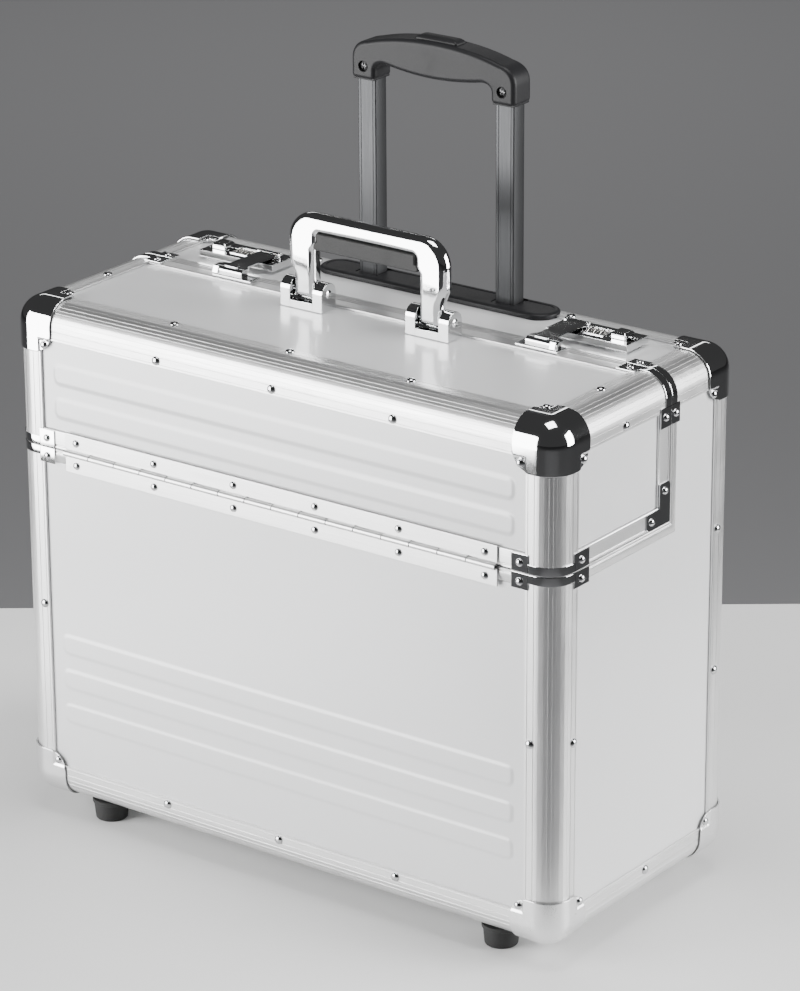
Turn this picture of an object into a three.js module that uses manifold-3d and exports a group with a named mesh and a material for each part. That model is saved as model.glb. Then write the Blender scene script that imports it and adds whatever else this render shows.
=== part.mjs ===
// An aluminium-framed pilot case on wheels: a body and a front-hinged lid of flat panels held in
// quarter-round edge rails, with ball corners, a piano hinge, two combination locks, a bail carry
// handle, a telescopic trolley handle, two rear wheels and two front feet.
// Millimetres, +Z up, front at -Y, the origin on the floor under the middle of the case.
import * as THREE from "three";
import { RoundedBoxGeometry } from "three/addons/geometries/RoundedBoxGeometry.js";
import { mergeVertices } from "three/addons/utils/BufferGeometryUtils.js";
import Module from "manifold-3d";

const wasm = await Module();
wasm.setup();

// Shell
const WIDTH = 460;
const DEPTH = 212;
const SHELL_HEIGHT = 372;
const FOOT_HEIGHT = 16;
const OUTSET = 4.8; // how far the hinge stands out in front, and the wheels behind
const GAP = 0.3; // clearance between pieces that touch
const OVERLAP = 0.2; // how far the forms of one body run into each other

// Edge rails and panels
const RAIL_REACH = 25;
const RAIL_RADIUS = 15;
const RAIL_WALL = 1.6;
const RAIL_CORE = 10;
const PANEL_WALL = 4;

// Parting line between body and lid
const PARTING_RISE = 268; // above the shell's underside
const LID_DEPTH = 131.5; // from the front to the parting line on top
const BODY_RIM_WIDTH = 10;
const LID_RIM_WIDTH = 13;
const RIM_WALL = 8;

// Piano hinge
const HINGE_LENGTH = 368;
const KNUCKLES = 16;
const KNUCKLE_RADIUS = 2.2;
const HINGE_PIN_RADIUS = 0.95;
const PIN_PLAY = 0.25;
const LEAF_WALL = 1.2;
const LEAF_REACH = 14.2;
const LEAF_CLEARANCE = 0.4; // between a leaf's edge and the other leaf's knuckles
const KNUCKLE_GAP = 0.4;

// Corner caps
const CAP_REACH = 35;
const CAP_WALL = 1.6;
const CAP_ROUND = 12;

// Carry handle
const BASE_SPACING = 107;
const BASE_SIZE = { x: 36, y: 16, z: 20 };
const BASE_SLOT = 19.5;
const BASE_SILL = 5.4;
const HANDLE_Y = 2;
const HANDLE_RISE = 69; // top of the bail above the lid
const HANDLE_WIDTH = 134;
const HANDLE_BAR = 13;
const HANDLE_LEG = 17.5;
const HANDLE_DEPTH = 12;
const HANDLE_PIN_RADIUS = 2.4;
const HANDLE_CORNER = 20;
const HANDLE_WAIST = { straight: 9, start: 12, full: 24 }; // heights over the pivot, where a leg widens
const GRIP_INSERT = { height: 12, chamferX: 6, chamferZ: 4 };

// Locks, given for the right-hand one
const LOCK_X = [117, 183];
const LOCK_Y = [43, 69];
const LOCK_WALL = 5;
const LOCK_BODY_X = [141, 181];
const LOCK_BODY_Y = 17;
const LOCK_BODY_DEPTH = 9.5;
const LOCK_MIDDLE_Y = (LOCK_Y[0] + LOCK_Y[1]) / 2;
const DIAL_XS = [146, 151, 156];
const DIAL_RADIUS = 6.5;
const DIAL_WIDTH = 4;
const DIAL_PROUD = 2;
const DIAL_AXLE_RADIUS = 1;
const DIAL_BEVEL = 0.5;
const DIAL_PLAY = 0.4; // round a dial in its well
const BUTTON_X = 171;
const BUTTON_SIZE = 12;
const BUTTON_HEIGHT = 4.5;
const BUTTON_STEM = { width: 5, depth: 3.5 };
const BUTTON_TRAVEL = 5;
const HASP_X = [124, 140];
const HASP_TIP_X = [121, 147];
const HASP_PIVOT = { y: 60, rise: 7.4 };
const HASP_TIP_Y = 13;
const HASP_WALL = 1.8;
const HASP_FLARE_Y = [32, 40]; // between the broad tip and the narrow tail
const HASP_BARREL_RADIUS = 2;
const HASP_PIN_RADIUS = 0.9;
const EAR = { x: 2, y: 4.4, over: 2 }; // a plate at each side of the hasp's tail, and its rise over the pin
const KEEPER_X = [113, 147];
const KEEPER_Y = [12.6, 24.9];
const KEEPER_WALL = 2;
const KEEPER_POST = { x: [123, 144], y: [15.4, 22.9], rise: 6 };

// Trolley
const TUBE_X = 58.5;
const TUBE_Y = 84;
const TUBE = { x: 15.5, y: 12.5 };
const TUBE_WALL = 1.4;
const STAGE_STEP = 4; // each outer tube is this much larger than the one it guides
const STAGE_CLEARANCE = 0.6; // across each sliding fit
const BEZEL_X = 100;
const BEZEL_Y = [67, 95.4];
const BEZEL_PROUD = 2.5;
const BEZEL_STEP = { x: 2.5, y: 1.8, z: 1 };
const BEZEL_ROUND = 14;
const SHOWN_TUBE = 143; // upper tube standing above the shell as the handle is left
const TROLLEY_GRIP = { halfWidth: 69, legWidth: 20, depth: 21, rise: 36, shoulder: 27 };
const TROLLEY_BELLY = { leg: 7, start: 13, pull: 5 }; // heights along the underside of the grip
const RELEASE = { x: 36, y: 12, proud: 2.5, height: 10 };
const STOWED_DROP = 139;
const COVER = { wall: 1.5, roomX: 5, roomY: 3 };
const GUIDE_LIFT = 2; // guide frame over the lining of the floor
const FOOTPLATE = 4;

// Running gear
const WHEEL_X = 172;
const WHEEL_RADIUS = 22;
const WHEEL_WIDTH = 16;
const WHEEL_AXLE_RADIUS = 3;
const WHEEL_HUB_RADIUS = 8;
const WHEEL_RIM_RADIUS = 16;
const WHEEL_DISH = 2;
const TREAD_CROWN = { radial: 2, axial: 3 };
const HOUSING_WALL = 3;
const HOUSING_PLAY = 2; // between the wheel's faces and the housing's cheeks
const HOUSING_CLEARANCE = 3; // between the tread and the housing
const FLANGE = { side: 5, over: 7 };
const FOOT_Y = -84;
const FOOT_RADIUS = 15;
const FOOT_TAPER = 2;
const FOOT_BEVEL = 1;

// Planes that the rest is placed from
const RIGHT = WIDTH / 2;
const BACK = DEPTH / 2;
const FRONT = -BACK;
const FLOOR_OF_SHELL = FOOT_HEIGHT;
const TOP = FLOOR_OF_SHELL + SHELL_HEIGHT;
const MIDDLE_Z = FLOOR_OF_SHELL + SHELL_HEIGHT / 2;
const PARTING_Z = FLOOR_OF_SHELL + PARTING_RISE;
const PARTING_Y = FRONT + LID_DEPTH;
const SKIN = RAIL_WALL + GAP; // panel outer face, below the rail faces
const LINING = SKIN + PANEL_WALL; // panel inner face
const EDGE = RAIL_CORE + GAP; // panel edges, in from the rail faces
const BODY_RIM_TOP = PARTING_Z - GAP;
const BODY_RIM_BOTTOM = BODY_RIM_TOP - BODY_RIM_WIDTH;
const BODY_RIM_FRONT = PARTING_Y + GAP;
const BODY_RIM_BACK = BODY_RIM_FRONT + BODY_RIM_WIDTH;
const LID_RIM_BOTTOM = PARTING_Z + GAP;
const LID_RIM_TOP = LID_RIM_BOTTOM + LID_RIM_WIDTH;
const LID_RIM_BACK = PARTING_Y - GAP;
const LID_RIM_FRONT = LID_RIM_BACK - LID_RIM_WIDTH;
const HINGE_Y = FRONT - OUTSET + KNUCKLE_RADIUS;
const WHEEL_Y = BACK + OUTSET - WHEEL_RADIUS;
const HUGE = 1000;

const FINISH = {
  panel: { color: 0xc9cbcd, roughness: 0.32, metalness: 0.6 },
  rail: { color: 0xbfc1c2, roughness: 0.35, metalness: 0.9 },
  chrome: { color: 0xe4e6e8, roughness: 0.08, metalness: 1 },
  steel: { color: 0xb4b6b8, roughness: 0.25, metalness: 1 },
  tube: { color: 0x3a3b3d, roughness: 0.35, metalness: 0.8 },
  black: { color: 0x17181a, roughness: 0.45, metalness: 0 },
  rubber: { color: 0x101011, roughness: 0.8, metalness: 0 },
  cover: { color: 0x2a2b2d, roughness: 0.7, metalness: 0 },
};

// A closed geometry as a solid that can be joined and cut.
function solid(geometry) {
  const bare = geometry.clone();
  bare.deleteAttribute("normal");
  bare.deleteAttribute("uv");
  const merged = mergeVertices(bare, 1e-4);
  return new wasm.Manifold(
    new wasm.Mesh({
      numProp: 3,
      vertProperties: new Float32Array(merged.attributes.position.array),
      triVerts: new Uint32Array(merged.index.array),
    }),
  );
}

function geometryOf(body) {
  const mesh = body.getMesh();
  const geometry = new THREE.BufferGeometry();
  geometry.setAttribute("position", new THREE.BufferAttribute(mesh.vertProperties, 3));
  geometry.setIndex(new THREE.BufferAttribute(mesh.triVerts, 1));
  geometry.computeVertexNormals();
  return geometry;
}

function join(...bodies) {
  return bodies.reduce((sum, body) => sum.add(body));
}

function cut(body, ...tools) {
  return tools.reduce((rest, tool) => rest.subtract(tool), body);
}

function box([x0, x1], [y0, y1], [z0, z1]) {
  const geometry = new THREE.BoxGeometry(x1 - x0, y1 - y0, z1 - z0);
  geometry.translate((x0 + x1) / 2, (y0 + y1) / 2, (z0 + z1) / 2);
  return solid(geometry);
}

// An outline drawn in the plane across an axis, (y, z) for X, (x, z) for Y and (x, y) for Z,
// extruded between two places on that axis.
function prism(outline, axis, [from, to], curveSegments = 6) {
  const shape = outline instanceof THREE.Shape ? outline : polygon(outline);
  const geometry = new THREE.ExtrudeGeometry(shape, {
    depth: to - from,
    bevelEnabled: false,
    curveSegments,
  });
  if (axis === "x") {
    const [ex, ey, ez] = [0, 1, 2].map((i) => new THREE.Vector3().setComponent(i, 1));
    geometry.applyMatrix4(new THREE.Matrix4().makeBasis(ey, ez, ex));
    geometry.translate(from, 0, 0);
  } else if (axis === "y") {
    geometry.rotateX(Math.PI / 2);
    geometry.translate(0, to, 0);
  } else {
    geometry.translate(0, 0, from);
  }
  return solid(geometry);
}

function polygon(points) {
  return new THREE.Shape(points.map(([u, v]) => new THREE.Vector2(u, v)));
}

function circle(u, v, radius) {
  return new THREE.Shape().absarc(u, v, radius, 0, 2 * Math.PI);
}

function roundedRectangle([u0, u1], [v0, v1], radius) {
  const shape = new THREE.Shape();
  shape.absarc(u1 - radius, v0 + radius, radius, -Math.PI / 2, 0);
  shape.absarc(u1 - radius, v1 - radius, radius, 0, Math.PI / 2);
  shape.absarc(u0 + radius, v1 - radius, radius, Math.PI / 2, Math.PI);
  shape.absarc(u0 + radius, v0 + radius, radius, Math.PI, 1.5 * Math.PI);
  return shape;
}

// The rounded outer form of the shell about a middle height, grown by a margin on every face.
function envelope(margin = 0, middle = MIDDLE_Z) {
  const grown = [WIDTH, DEPTH, SHELL_HEIGHT].map((size) => size + 2 * margin);
  const geometry = new RoundedBoxGeometry(...grown, 3, RAIL_RADIUS + margin);
  geometry.translate(0, 0, middle);
  return solid(geometry);
}

// The angle section of a rail along one shell edge, before its corner is rounded. The signs say
// which way the two faces look: (y, z) for a rail along X, (x, z) for Y and (x, y) for Z.
function railBar(axis, [uSign, vSign], span) {
  const section = [
    [0, 0],
    [RAIL_REACH, 0],
    [RAIL_REACH, RAIL_WALL],
    [RAIL_CORE, RAIL_WALL],
    [RAIL_CORE, RAIL_CORE],
    [RAIL_WALL, RAIL_CORE],
    [RAIL_WALL, RAIL_REACH],
    [0, RAIL_REACH],
  ];
  const faces = {
    x: [uSign > 0 ? BACK : FRONT, vSign > 0 ? TOP : FLOOR_OF_SHELL],
    y: [uSign * RIGHT, vSign > 0 ? TOP : FLOOR_OF_SHELL],
    z: [uSign * RIGHT, vSign > 0 ? BACK : FRONT],
  }[axis];
  return prism(
    section.map(([u, v]) => [faces[0] - uSign * u, faces[1] - vSign * v]),
    axis,
    span,
  );
}

const everywhere = [-HUGE, HUGE];
const shellForm = envelope();
const root = new THREE.Group();

function place(name, body, finish, parent = root) {
  const mesh = new THREE.Mesh(geometryOf(body), new THREE.MeshStandardMaterial(FINISH[finish]));
  mesh.name = name;
  parent.add(mesh);
  return mesh;
}

// Running gear -------------------------------------------------------------------------------

const HOUSING_HALF = WHEEL_WIDTH / 2 + HOUSING_PLAY + HOUSING_WALL;
const HOUSING_FRONT = WHEEL_Y - WHEEL_RADIUS - HOUSING_CLEARANCE - HOUSING_WALL;
const HOUSING_TOP = 2 * WHEEL_RADIUS + HOUSING_CLEARANCE + HOUSING_WALL;

function housingRoom(side, margin) {
  const middle = side * WHEEL_X;
  const half = HOUSING_HALF + margin;
  const y = [HOUSING_FRONT - margin, HUGE];
  return box([middle - half, middle + half], y, [-HUGE, HOUSING_TOP + margin]);
}

// A wheel is turned about X: its tyre has a crowned tread and a dished hub.
function wheel() {
  const half = WHEEL_WIDTH / 2;
  const bore = WHEEL_AXLE_RADIUS + GAP;
  const oneSide = [
    [bore, half],
    [WHEEL_HUB_RADIUS, half],
    [WHEEL_HUB_RADIUS + 1, half - WHEEL_DISH],
    [WHEEL_RIM_RADIUS - 1, half - WHEEL_DISH],
    [WHEEL_RIM_RADIUS, half],
    [WHEEL_RADIUS - TREAD_CROWN.radial, half],
    [WHEEL_RADIUS, half - TREAD_CROWN.axial],
  ];
  const otherSide = oneSide.map(([r, h]) => [r, -h]);
  const profile = [...otherSide, ...oneSide.toReversed(), otherSide[0]];
  const geometry = new THREE.LatheGeometry(profile.map(([r, h]) => new THREE.Vector2(r, h)), 32);
  geometry.rotateZ(Math.PI / 2);
  return solid(geometry);
}

function wheelHousing(side) {
  const middle = side * WHEEL_X;
  const across = (half) => [middle - half, middle + half];
  const inner = HOUSING_HALF - HOUSING_WALL;
  const block = housingRoom(side, 0).intersect(envelope(CAP_WALL));
  const flangeArea = box(
    across(HOUSING_HALF + FLANGE.side),
    [HOUSING_FRONT - FLANGE.over, HUGE],
    [-HUGE, HOUSING_TOP + FLANGE.over],
  );
  const flange = cut(envelope(CAP_WALL), envelope(GAP)).intersect(flangeArea);
  const cavity = box(across(inner), [HOUSING_FRONT + HOUSING_WALL, HUGE], [-HUGE, HOUSING_TOP - HOUSING_WALL]);
  const axle = prism(circle(WHEEL_Y, WHEEL_RADIUS, WHEEL_AXLE_RADIUS), "x", across(inner + OVERLAP));
  return join(cut(join(block, flange), cavity), axle);
}

function foot() {
  const height = FOOT_HEIGHT - GAP;
  const profile = [
    [0, 0],
    [FOOT_RADIUS - FOOT_TAPER - FOOT_BEVEL, 0],
    [FOOT_RADIUS - FOOT_TAPER, FOOT_BEVEL],
    [FOOT_RADIUS, height],
    [0, height],
  ];
  const geometry = new THREE.LatheGeometry(profile.map(([r, h]) => new THREE.Vector2(r, h)), 24);
  geometry.rotateX(Math.PI / 2);
  return solid(geometry);
}

for (const [word, side] of [["left", -1], ["right", 1]]) {
  place(`wheel_housing_${word}`, wheelHousing(side), "black");
  place(`wheel_${word}`, wheel(), "rubber").position.set(side * WHEEL_X, WHEEL_Y, WHEEL_RADIUS);
  place(`foot_${word}`, foot(), "rubber").position.set(side * WHEEL_X, FOOT_Y, 0);
}

// Case body ----------------------------------------------------------------------------------

const housingNotches = [-1, 1].map((side) => housingRoom(side, GAP));
const acrossPanel = [-RIGHT + EDGE, RIGHT - EDGE];
const frontSkin = [FRONT + SKIN, FRONT + LINING];
const topSkin = [TOP - LINING, TOP - SKIN];
const panelBottom = FLOOR_OF_SHELL + EDGE;
const bodyPanelTop = BODY_RIM_BOTTOM - GAP;
const deckFront = BODY_RIM_BACK + GAP;

place("front_panel", box(acrossPanel, frontSkin, [panelBottom, bodyPanelTop]), "panel");
const backPanel = box(acrossPanel, [BACK - LINING, BACK - SKIN], [panelBottom, TOP - EDGE]);
place("back_panel", cut(backPanel, ...housingNotches), "panel");
const bottomPanel = box(
  acrossPanel,
  [FRONT + EDGE, BACK - EDGE],
  [FLOOR_OF_SHELL + SKIN, FLOOR_OF_SHELL + LINING],
);
place("bottom_panel", cut(bottomPanel, ...housingNotches), "panel");

const sideOutline = [
  [FRONT + EDGE, panelBottom],
  [BACK - EDGE, panelBottom],
  [BACK - EDGE, TOP - EDGE],
  [deckFront, TOP - EDGE],
  [deckFront, bodyPanelTop],
  [FRONT + EDGE, bodyPanelTop],
];
place("left_side_panel", prism(sideOutline, "x", [-RIGHT + SKIN, -RIGHT + LINING]), "panel");
place("right_side_panel", prism(sideOutline, "x", [RIGHT - LINING, RIGHT - SKIN]), "panel");

// Outside size of each trolley tube, from the upper tube out to the fixed guide.
function stageSize(stage) {
  return { x: TUBE.x + stage * STAGE_STEP, y: TUBE.y + stage * STAGE_STEP };
}

function tubeBlock(side, size, z) {
  const middle = side * TUBE_X;
  return box([middle - size.x / 2, middle + size.x / 2], [TUBE_Y - size.y / 2, TUBE_Y + size.y / 2], z);
}

// The hole that lets the next stage in through a tube of the given stage.
function stageHole(side, stage, z) {
  const inner = stageSize(stage - 1);
  const hole = { x: inner.x + STAGE_CLEARANCE, y: inner.y + STAGE_CLEARANCE };
  return tubeBlock(side, hole, z);
}

const lockBodyRoom = (side, margin) => {
  const xs = LOCK_BODY_X.map((x) => side * x).sort((a, b) => a - b);
  const half = LOCK_BODY_Y / 2 + margin;
  const y = [LOCK_MIDDLE_Y - half, LOCK_MIDDLE_Y + half];
  return box([xs[0] - margin, xs[1] + margin], y, [TOP - LOCK_BODY_DEPTH - margin, TOP + 1]);
};

const deckHoles = [-1, 1].flatMap((side) => [
  lockBodyRoom(side, GAP),
  stageHole(side, 2, everywhere),
]);
const deck = box(acrossPanel, [deckFront, BACK - EDGE], topSkin);
place("deck_panel", cut(deck, ...deckHoles), "panel");

const bottomBars = join(
  railBar("x", [-1, -1], [-RIGHT, RIGHT]),
  railBar("x", [1, -1], [-RIGHT, RIGHT]),
  railBar("y", [-1, -1], [FRONT, BACK]),
  railBar("y", [1, -1], [FRONT, BACK]),
);
const rearCornerTop = FLOOR_OF_SHELL + RAIL_REACH;
const lowerUprights = join(
  railBar("z", [-1, -1], [FLOOR_OF_SHELL, bodyPanelTop]),
  railBar("z", [1, -1], [FLOOR_OF_SHELL, bodyPanelTop]),
  railBar("z", [-1, 1], [FLOOR_OF_SHELL, rearCornerTop]),
  railBar("z", [1, 1], [FLOOR_OF_SHELL, rearCornerTop]),
);
const lowerRails = cut(join(bottomBars, lowerUprights).intersect(shellForm), ...housingNotches);
const betweenWheels = WHEEL_X - HOUSING_HALF;
const rearMiddle = box([-betweenWheels, betweenWheels], [0, HUGE], [0, HUGE]);
place("lower_edge_frame", cut(lowerRails, rearMiddle), "rail");
place("bottom_rear_rail", lowerRails.intersect(rearMiddle), "rail");

const bezelNotch = box([-BEZEL_X - GAP, BEZEL_X + GAP], [0, BACK - EDGE], [TOP - RAIL_WALL - 0.1, TOP + 1]);
const rearRails = join(
  railBar("x", [1, 1], [-RIGHT, RIGHT]),
  railBar("y", [-1, 1], [deckFront, BACK]),
  railBar("y", [1, 1], [deckFront, BACK]),
  railBar("z", [-1, 1], [rearCornerTop + GAP, TOP]),
  railBar("z", [1, 1], [rearCornerTop + GAP, TOP]),
);
place("rear_edge_frame", cut(rearRails.intersect(shellForm), bezelNotch), "rail");

const insideRims = box(
  [-RIGHT + RIM_WALL, RIGHT - RIM_WALL],
  [FRONT + RIM_WALL, BACK - RIM_WALL],
  [FLOOR_OF_SHELL + RIM_WALL, TOP - RIM_WALL],
);
const bodyRim = join(
  box(everywhere, [-HUGE, BODY_RIM_BACK], [BODY_RIM_BOTTOM, BODY_RIM_TOP]),
  box(everywhere, [BODY_RIM_FRONT, BODY_RIM_BACK], [BODY_RIM_BOTTOM, HUGE]),
);
place("body_rim", cut(bodyRim.intersect(shellForm), insideRims), "rail");

// One corner cap, made at the right, back, top corner about the middle height and mirrored to the
// others.
function cornerCap() {
  const top = SHELL_HEIGHT / 2;
  const from = (face) => [face - CAP_REACH, face + CAP_REACH];
  const outline = (u, v) => roundedRectangle(from(u), from(v), CAP_ROUND);
  return cut(envelope(CAP_WALL, 0), envelope(GAP, 0))
    .intersect(prism(outline(BACK, top), "x", from(RIGHT)))
    .intersect(prism(outline(RIGHT, top), "y", from(BACK)))
    .intersect(prism(outline(RIGHT, BACK), "z", from(top)));
}

const capShape = cornerCap();

function placeCap(name, [sx, sy, sz], finish, parent) {
  const cap = place(name, capShape, finish, parent);
  cap.position.z = MIDDLE_Z;
  cap.scale.set(sx, sy, sz);
}

for (const [word, side] of [["left", -1], ["right", 1]]) {
  placeCap(`corner_bottom_front_${word}`, [side, -1, -1], "rail", root);
  placeCap(`corner_bottom_rear_${word}`, [side, 1, -1], "rail", root);
  placeCap(`corner_top_rear_${word}`, [side, 1, 1], "chrome", root);
}

// Piano hinge: a leaf on each side of the parting line, with every other knuckle its own.
function hingeLeaf(up) {
  const plate = [FRONT - GAP - LEAF_WALL, FRONT - GAP];
  const clear = KNUCKLE_RADIUS + LEAF_CLEARANCE;
  const sorted = (a, b) => (up > 0 ? [PARTING_Z + a, PARTING_Z + b] : [PARTING_Z - b, PARTING_Z - a]);
  const start = -HINGE_LENGTH / 2;
  const pitch = HINGE_LENGTH / KNUCKLES;
  const pieces = [box([start, -start], plate, sorted(clear, LEAF_REACH))];
  for (let i = up > 0 ? 0 : 1; i < KNUCKLES; i += 2) {
    const span = [start + i * pitch + KNUCKLE_GAP / 2, start + (i + 1) * pitch - KNUCKLE_GAP / 2];
    pieces.push(box(span, plate, sorted(0, clear + OVERLAP)));
    pieces.push(prism(circle(HINGE_Y, PARTING_Z, KNUCKLE_RADIUS), "x", span, 6));
  }
  const bore = prism(circle(HINGE_Y, PARTING_Z, HINGE_PIN_RADIUS + PIN_PLAY), "x", everywhere, 4);
  return cut(join(...pieces), bore);
}

place("hinge_lower_leaf", hingeLeaf(-1), "steel");
const hingePin = prism(circle(0, 0, HINGE_PIN_RADIUS), "x", [-HINGE_LENGTH / 2, HINGE_LENGTH / 2], 4);
place("hinge_pin", hingePin, "steel").position.set(0, HINGE_Y, PARTING_Z);

// Locks --------------------------------------------------------------------------------------

const DIAL_Z = TOP + GAP + LOCK_WALL + DIAL_PROUD - DIAL_RADIUS;
const PLATE_TOP = TOP + GAP + LOCK_WALL;

// The lock plate with its body, the dial wells, the dial axle and the ears that hold the hasp.
function lockPlate() {
  const plate = box(LOCK_X, LOCK_Y, [TOP + GAP, PLATE_TOP]);
  const wells = DIAL_XS.map((x) =>
    prism(
      circle(LOCK_MIDDLE_Y, DIAL_Z, DIAL_RADIUS + DIAL_PLAY),
      "x",
      [x - DIAL_WIDTH / 2 - GAP, x + DIAL_WIDTH / 2 + GAP],
      5,
    ),
  );
  const stem = BUTTON_STEM.width / 2 + GAP;
  const slideSlot = box(
    [BUTTON_X - stem, BUTTON_X + stem + BUTTON_TRAVEL],
    [LOCK_MIDDLE_Y - stem, LOCK_MIDDLE_Y + stem],
    [TOP + 1, HUGE],
  );
  const axle = prism(
    circle(LOCK_MIDDLE_Y, DIAL_Z, DIAL_AXLE_RADIUS),
    "x",
    [DIAL_XS[0] - DIAL_WIDTH, DIAL_XS[2] + DIAL_WIDTH],
    3,
  );
  const earY = [HASP_PIVOT.y - EAR.y / 2, HASP_PIVOT.y + EAR.y / 2];
  const earZ = [PLATE_TOP - OVERLAP, TOP + HASP_PIVOT.rise + EAR.over];
  const ears = [HASP_X[0] - GAP - EAR.x, HASP_X[1] + GAP].map((x) => box([x, x + EAR.x], earY, earZ));
  const haspPin = prism(
    circle(HASP_PIVOT.y, TOP + HASP_PIVOT.rise, HASP_PIN_RADIUS),
    "x",
    [HASP_X[0] - 1, HASP_X[1] + 1],
    3,
  );
  return join(cut(join(plate, lockBodyRoom(1, 0)), ...wells, slideSlot), axle, ...ears, haspPin);
}

function dial() {
  const half = DIAL_WIDTH / 2;
  const bore = DIAL_AXLE_RADIUS + GAP;
  const profile = [
    [bore, -half],
    [DIAL_RADIUS - DIAL_BEVEL, -half],
    [DIAL_RADIUS, -half + DIAL_BEVEL],
    [DIAL_RADIUS, half - DIAL_BEVEL],
    [DIAL_RADIUS - DIAL_BEVEL, half],
    [bore, half],
    [bore, -half],
  ];
  const geometry = new THREE.LatheGeometry(profile.map(([r, h]) => new THREE.Vector2(r, h)), 20);
  geometry.rotateZ(Math.PI / 2);
  return solid(geometry);
}

function slideButton() {
  const half = BUTTON_SIZE / 2;
  const stem = BUTTON_STEM.width / 2;
  const cap = box([-half, half], [-half, half], [0, BUTTON_HEIGHT]);
  return join(cap, box([-stem, stem], [-stem, stem], [-BUTTON_STEM.depth, OVERLAP]));
}

// The hasp reaches from its pivot over the parting line and turns down in front of the keeper.
function hasp() {
  const z = TOP + HASP_PIVOT.rise;
  const outline = [
    [HASP_X[0], HASP_PIVOT.y],
    [HASP_X[0], HASP_FLARE_Y[1]],
    [HASP_TIP_X[0], HASP_FLARE_Y[0]],
    [HASP_TIP_X[0], HASP_TIP_Y],
    [HASP_TIP_X[1], HASP_TIP_Y],
    [HASP_TIP_X[1], HASP_FLARE_Y[0]],
    [HASP_X[1], HASP_FLARE_Y[1]],
    [HASP_X[1], HASP_PIVOT.y],
  ];
  const plate = prism(outline, "z", [z - HASP_WALL / 2, z + HASP_WALL / 2]);
  const lip = box(HASP_TIP_X, [HASP_TIP_Y, HASP_TIP_Y + HASP_WALL], [TOP + KEEPER_WALL + GAP, z]);
  const barrel = prism(circle(HASP_PIVOT.y, z, HASP_BARREL_RADIUS), "x", HASP_X, 5);
  const bore = prism(circle(HASP_PIVOT.y, z, HASP_PIN_RADIUS + GAP), "x", everywhere, 4);
  return cut(join(plate, lip, barrel), bore);
}

function keeper() {
  const { x, y, rise } = KEEPER_POST;
  const plate = box(KEEPER_X, KEEPER_Y, [TOP + GAP, TOP + KEEPER_WALL]);
  return join(plate, box(x, y, [TOP + KEEPER_WALL - OVERLAP, TOP + rise]));
}

for (const [word, side] of [["left", -1], ["right", 1]]) {
  const lock = new THREE.Group();
  lock.scale.x = side;
  root.add(lock);
  place(`lock_plate_${word}`, lockPlate(), "chrome", lock);
  DIAL_XS.forEach((x, i) => {
    place(`dial_${word}_${i + 1}`, dial(), "steel", lock).position.set(x, LOCK_MIDDLE_Y, DIAL_Z);
  });
  const button = place(`lock_button_${word}`, slideButton(), "chrome", lock);
  button.position.set(BUTTON_X, LOCK_MIDDLE_Y, PLATE_TOP + GAP);
  place(`hasp_${word}`, hasp(), "chrome", lock);
  place(`keeper_${word}`, keeper(), "chrome", lock);
}

// Lid ----------------------------------------------------------------------------------------

const lid = new THREE.Group();
root.add(lid);
const lidPanelBottom = LID_RIM_TOP + GAP;
const lidPanelBack = LID_RIM_FRONT - GAP;
place("lid_top_panel", box(acrossPanel, [FRONT + EDGE, lidPanelBack], topSkin), "panel", lid);
place("lid_front_panel", box(acrossPanel, frontSkin, [lidPanelBottom, TOP - EDGE]), "panel", lid);
for (const [word, xs] of [["left", [-RIGHT + SKIN, -RIGHT + LINING]], ["right", [RIGHT - LINING, RIGHT - SKIN]]]) {
  const sheet = box(xs, [FRONT + EDGE, lidPanelBack], [lidPanelBottom, TOP - EDGE]);
  place(`lid_${word}_panel`, sheet, "panel", lid);
}

const lidRails = join(
  railBar("x", [-1, 1], [-RIGHT, RIGHT]),
  railBar("y", [-1, 1], [FRONT, lidPanelBack]),
  railBar("y", [1, 1], [FRONT, lidPanelBack]),
  railBar("z", [-1, -1], [lidPanelBottom, TOP]),
  railBar("z", [1, -1], [lidPanelBottom, TOP]),
);
place("lid_edge_frame", lidRails.intersect(shellForm), "rail", lid);
const lidRim = join(
  box(everywhere, [-HUGE, LID_RIM_BACK], [LID_RIM_BOTTOM, LID_RIM_TOP]),
  box(everywhere, [LID_RIM_FRONT, LID_RIM_BACK], [LID_RIM_BOTTOM, HUGE]),
);
place("lid_rim", cut(lidRim.intersect(shellForm), insideRims), "rail", lid);
place("hinge_upper_leaf", hingeLeaf(1), "steel", lid);
placeCap("corner_top_front_left", [-1, -1, 1], "chrome", lid);
placeCap("corner_top_front_right", [1, -1, 1], "chrome", lid);

// Carry handle -------------------------------------------------------------------------------

const BASE_FLOOR = TOP - SKIN + GAP;
const BASE_RADIUS = BASE_SIZE.y / 2;
const PIVOT_RISE = BASE_SIZE.z - BASE_RADIUS;

// A clevis base: a half-round block with a slot for the leg and the pin across it.
function handleBase() {
  const profile = new THREE.Shape();
  profile.moveTo(-BASE_RADIUS, 0);
  profile.lineTo(BASE_RADIUS, 0);
  profile.lineTo(BASE_RADIUS, PIVOT_RISE);
  profile.absarc(0, PIVOT_RISE, BASE_RADIUS, 0, Math.PI);
  const half = BASE_SIZE.x / 2;
  const block = prism(profile, "x", [-half, half], 8);
  const slot = box([-BASE_SLOT / 2, BASE_SLOT / 2], everywhere, [BASE_SILL, HUGE]);
  const pin = prism(circle(0, PIVOT_RISE, HANDLE_PIN_RADIUS), "x", [-half + 1, half - 1], 5);
  return join(cut(block, slot), pin);
}

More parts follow.
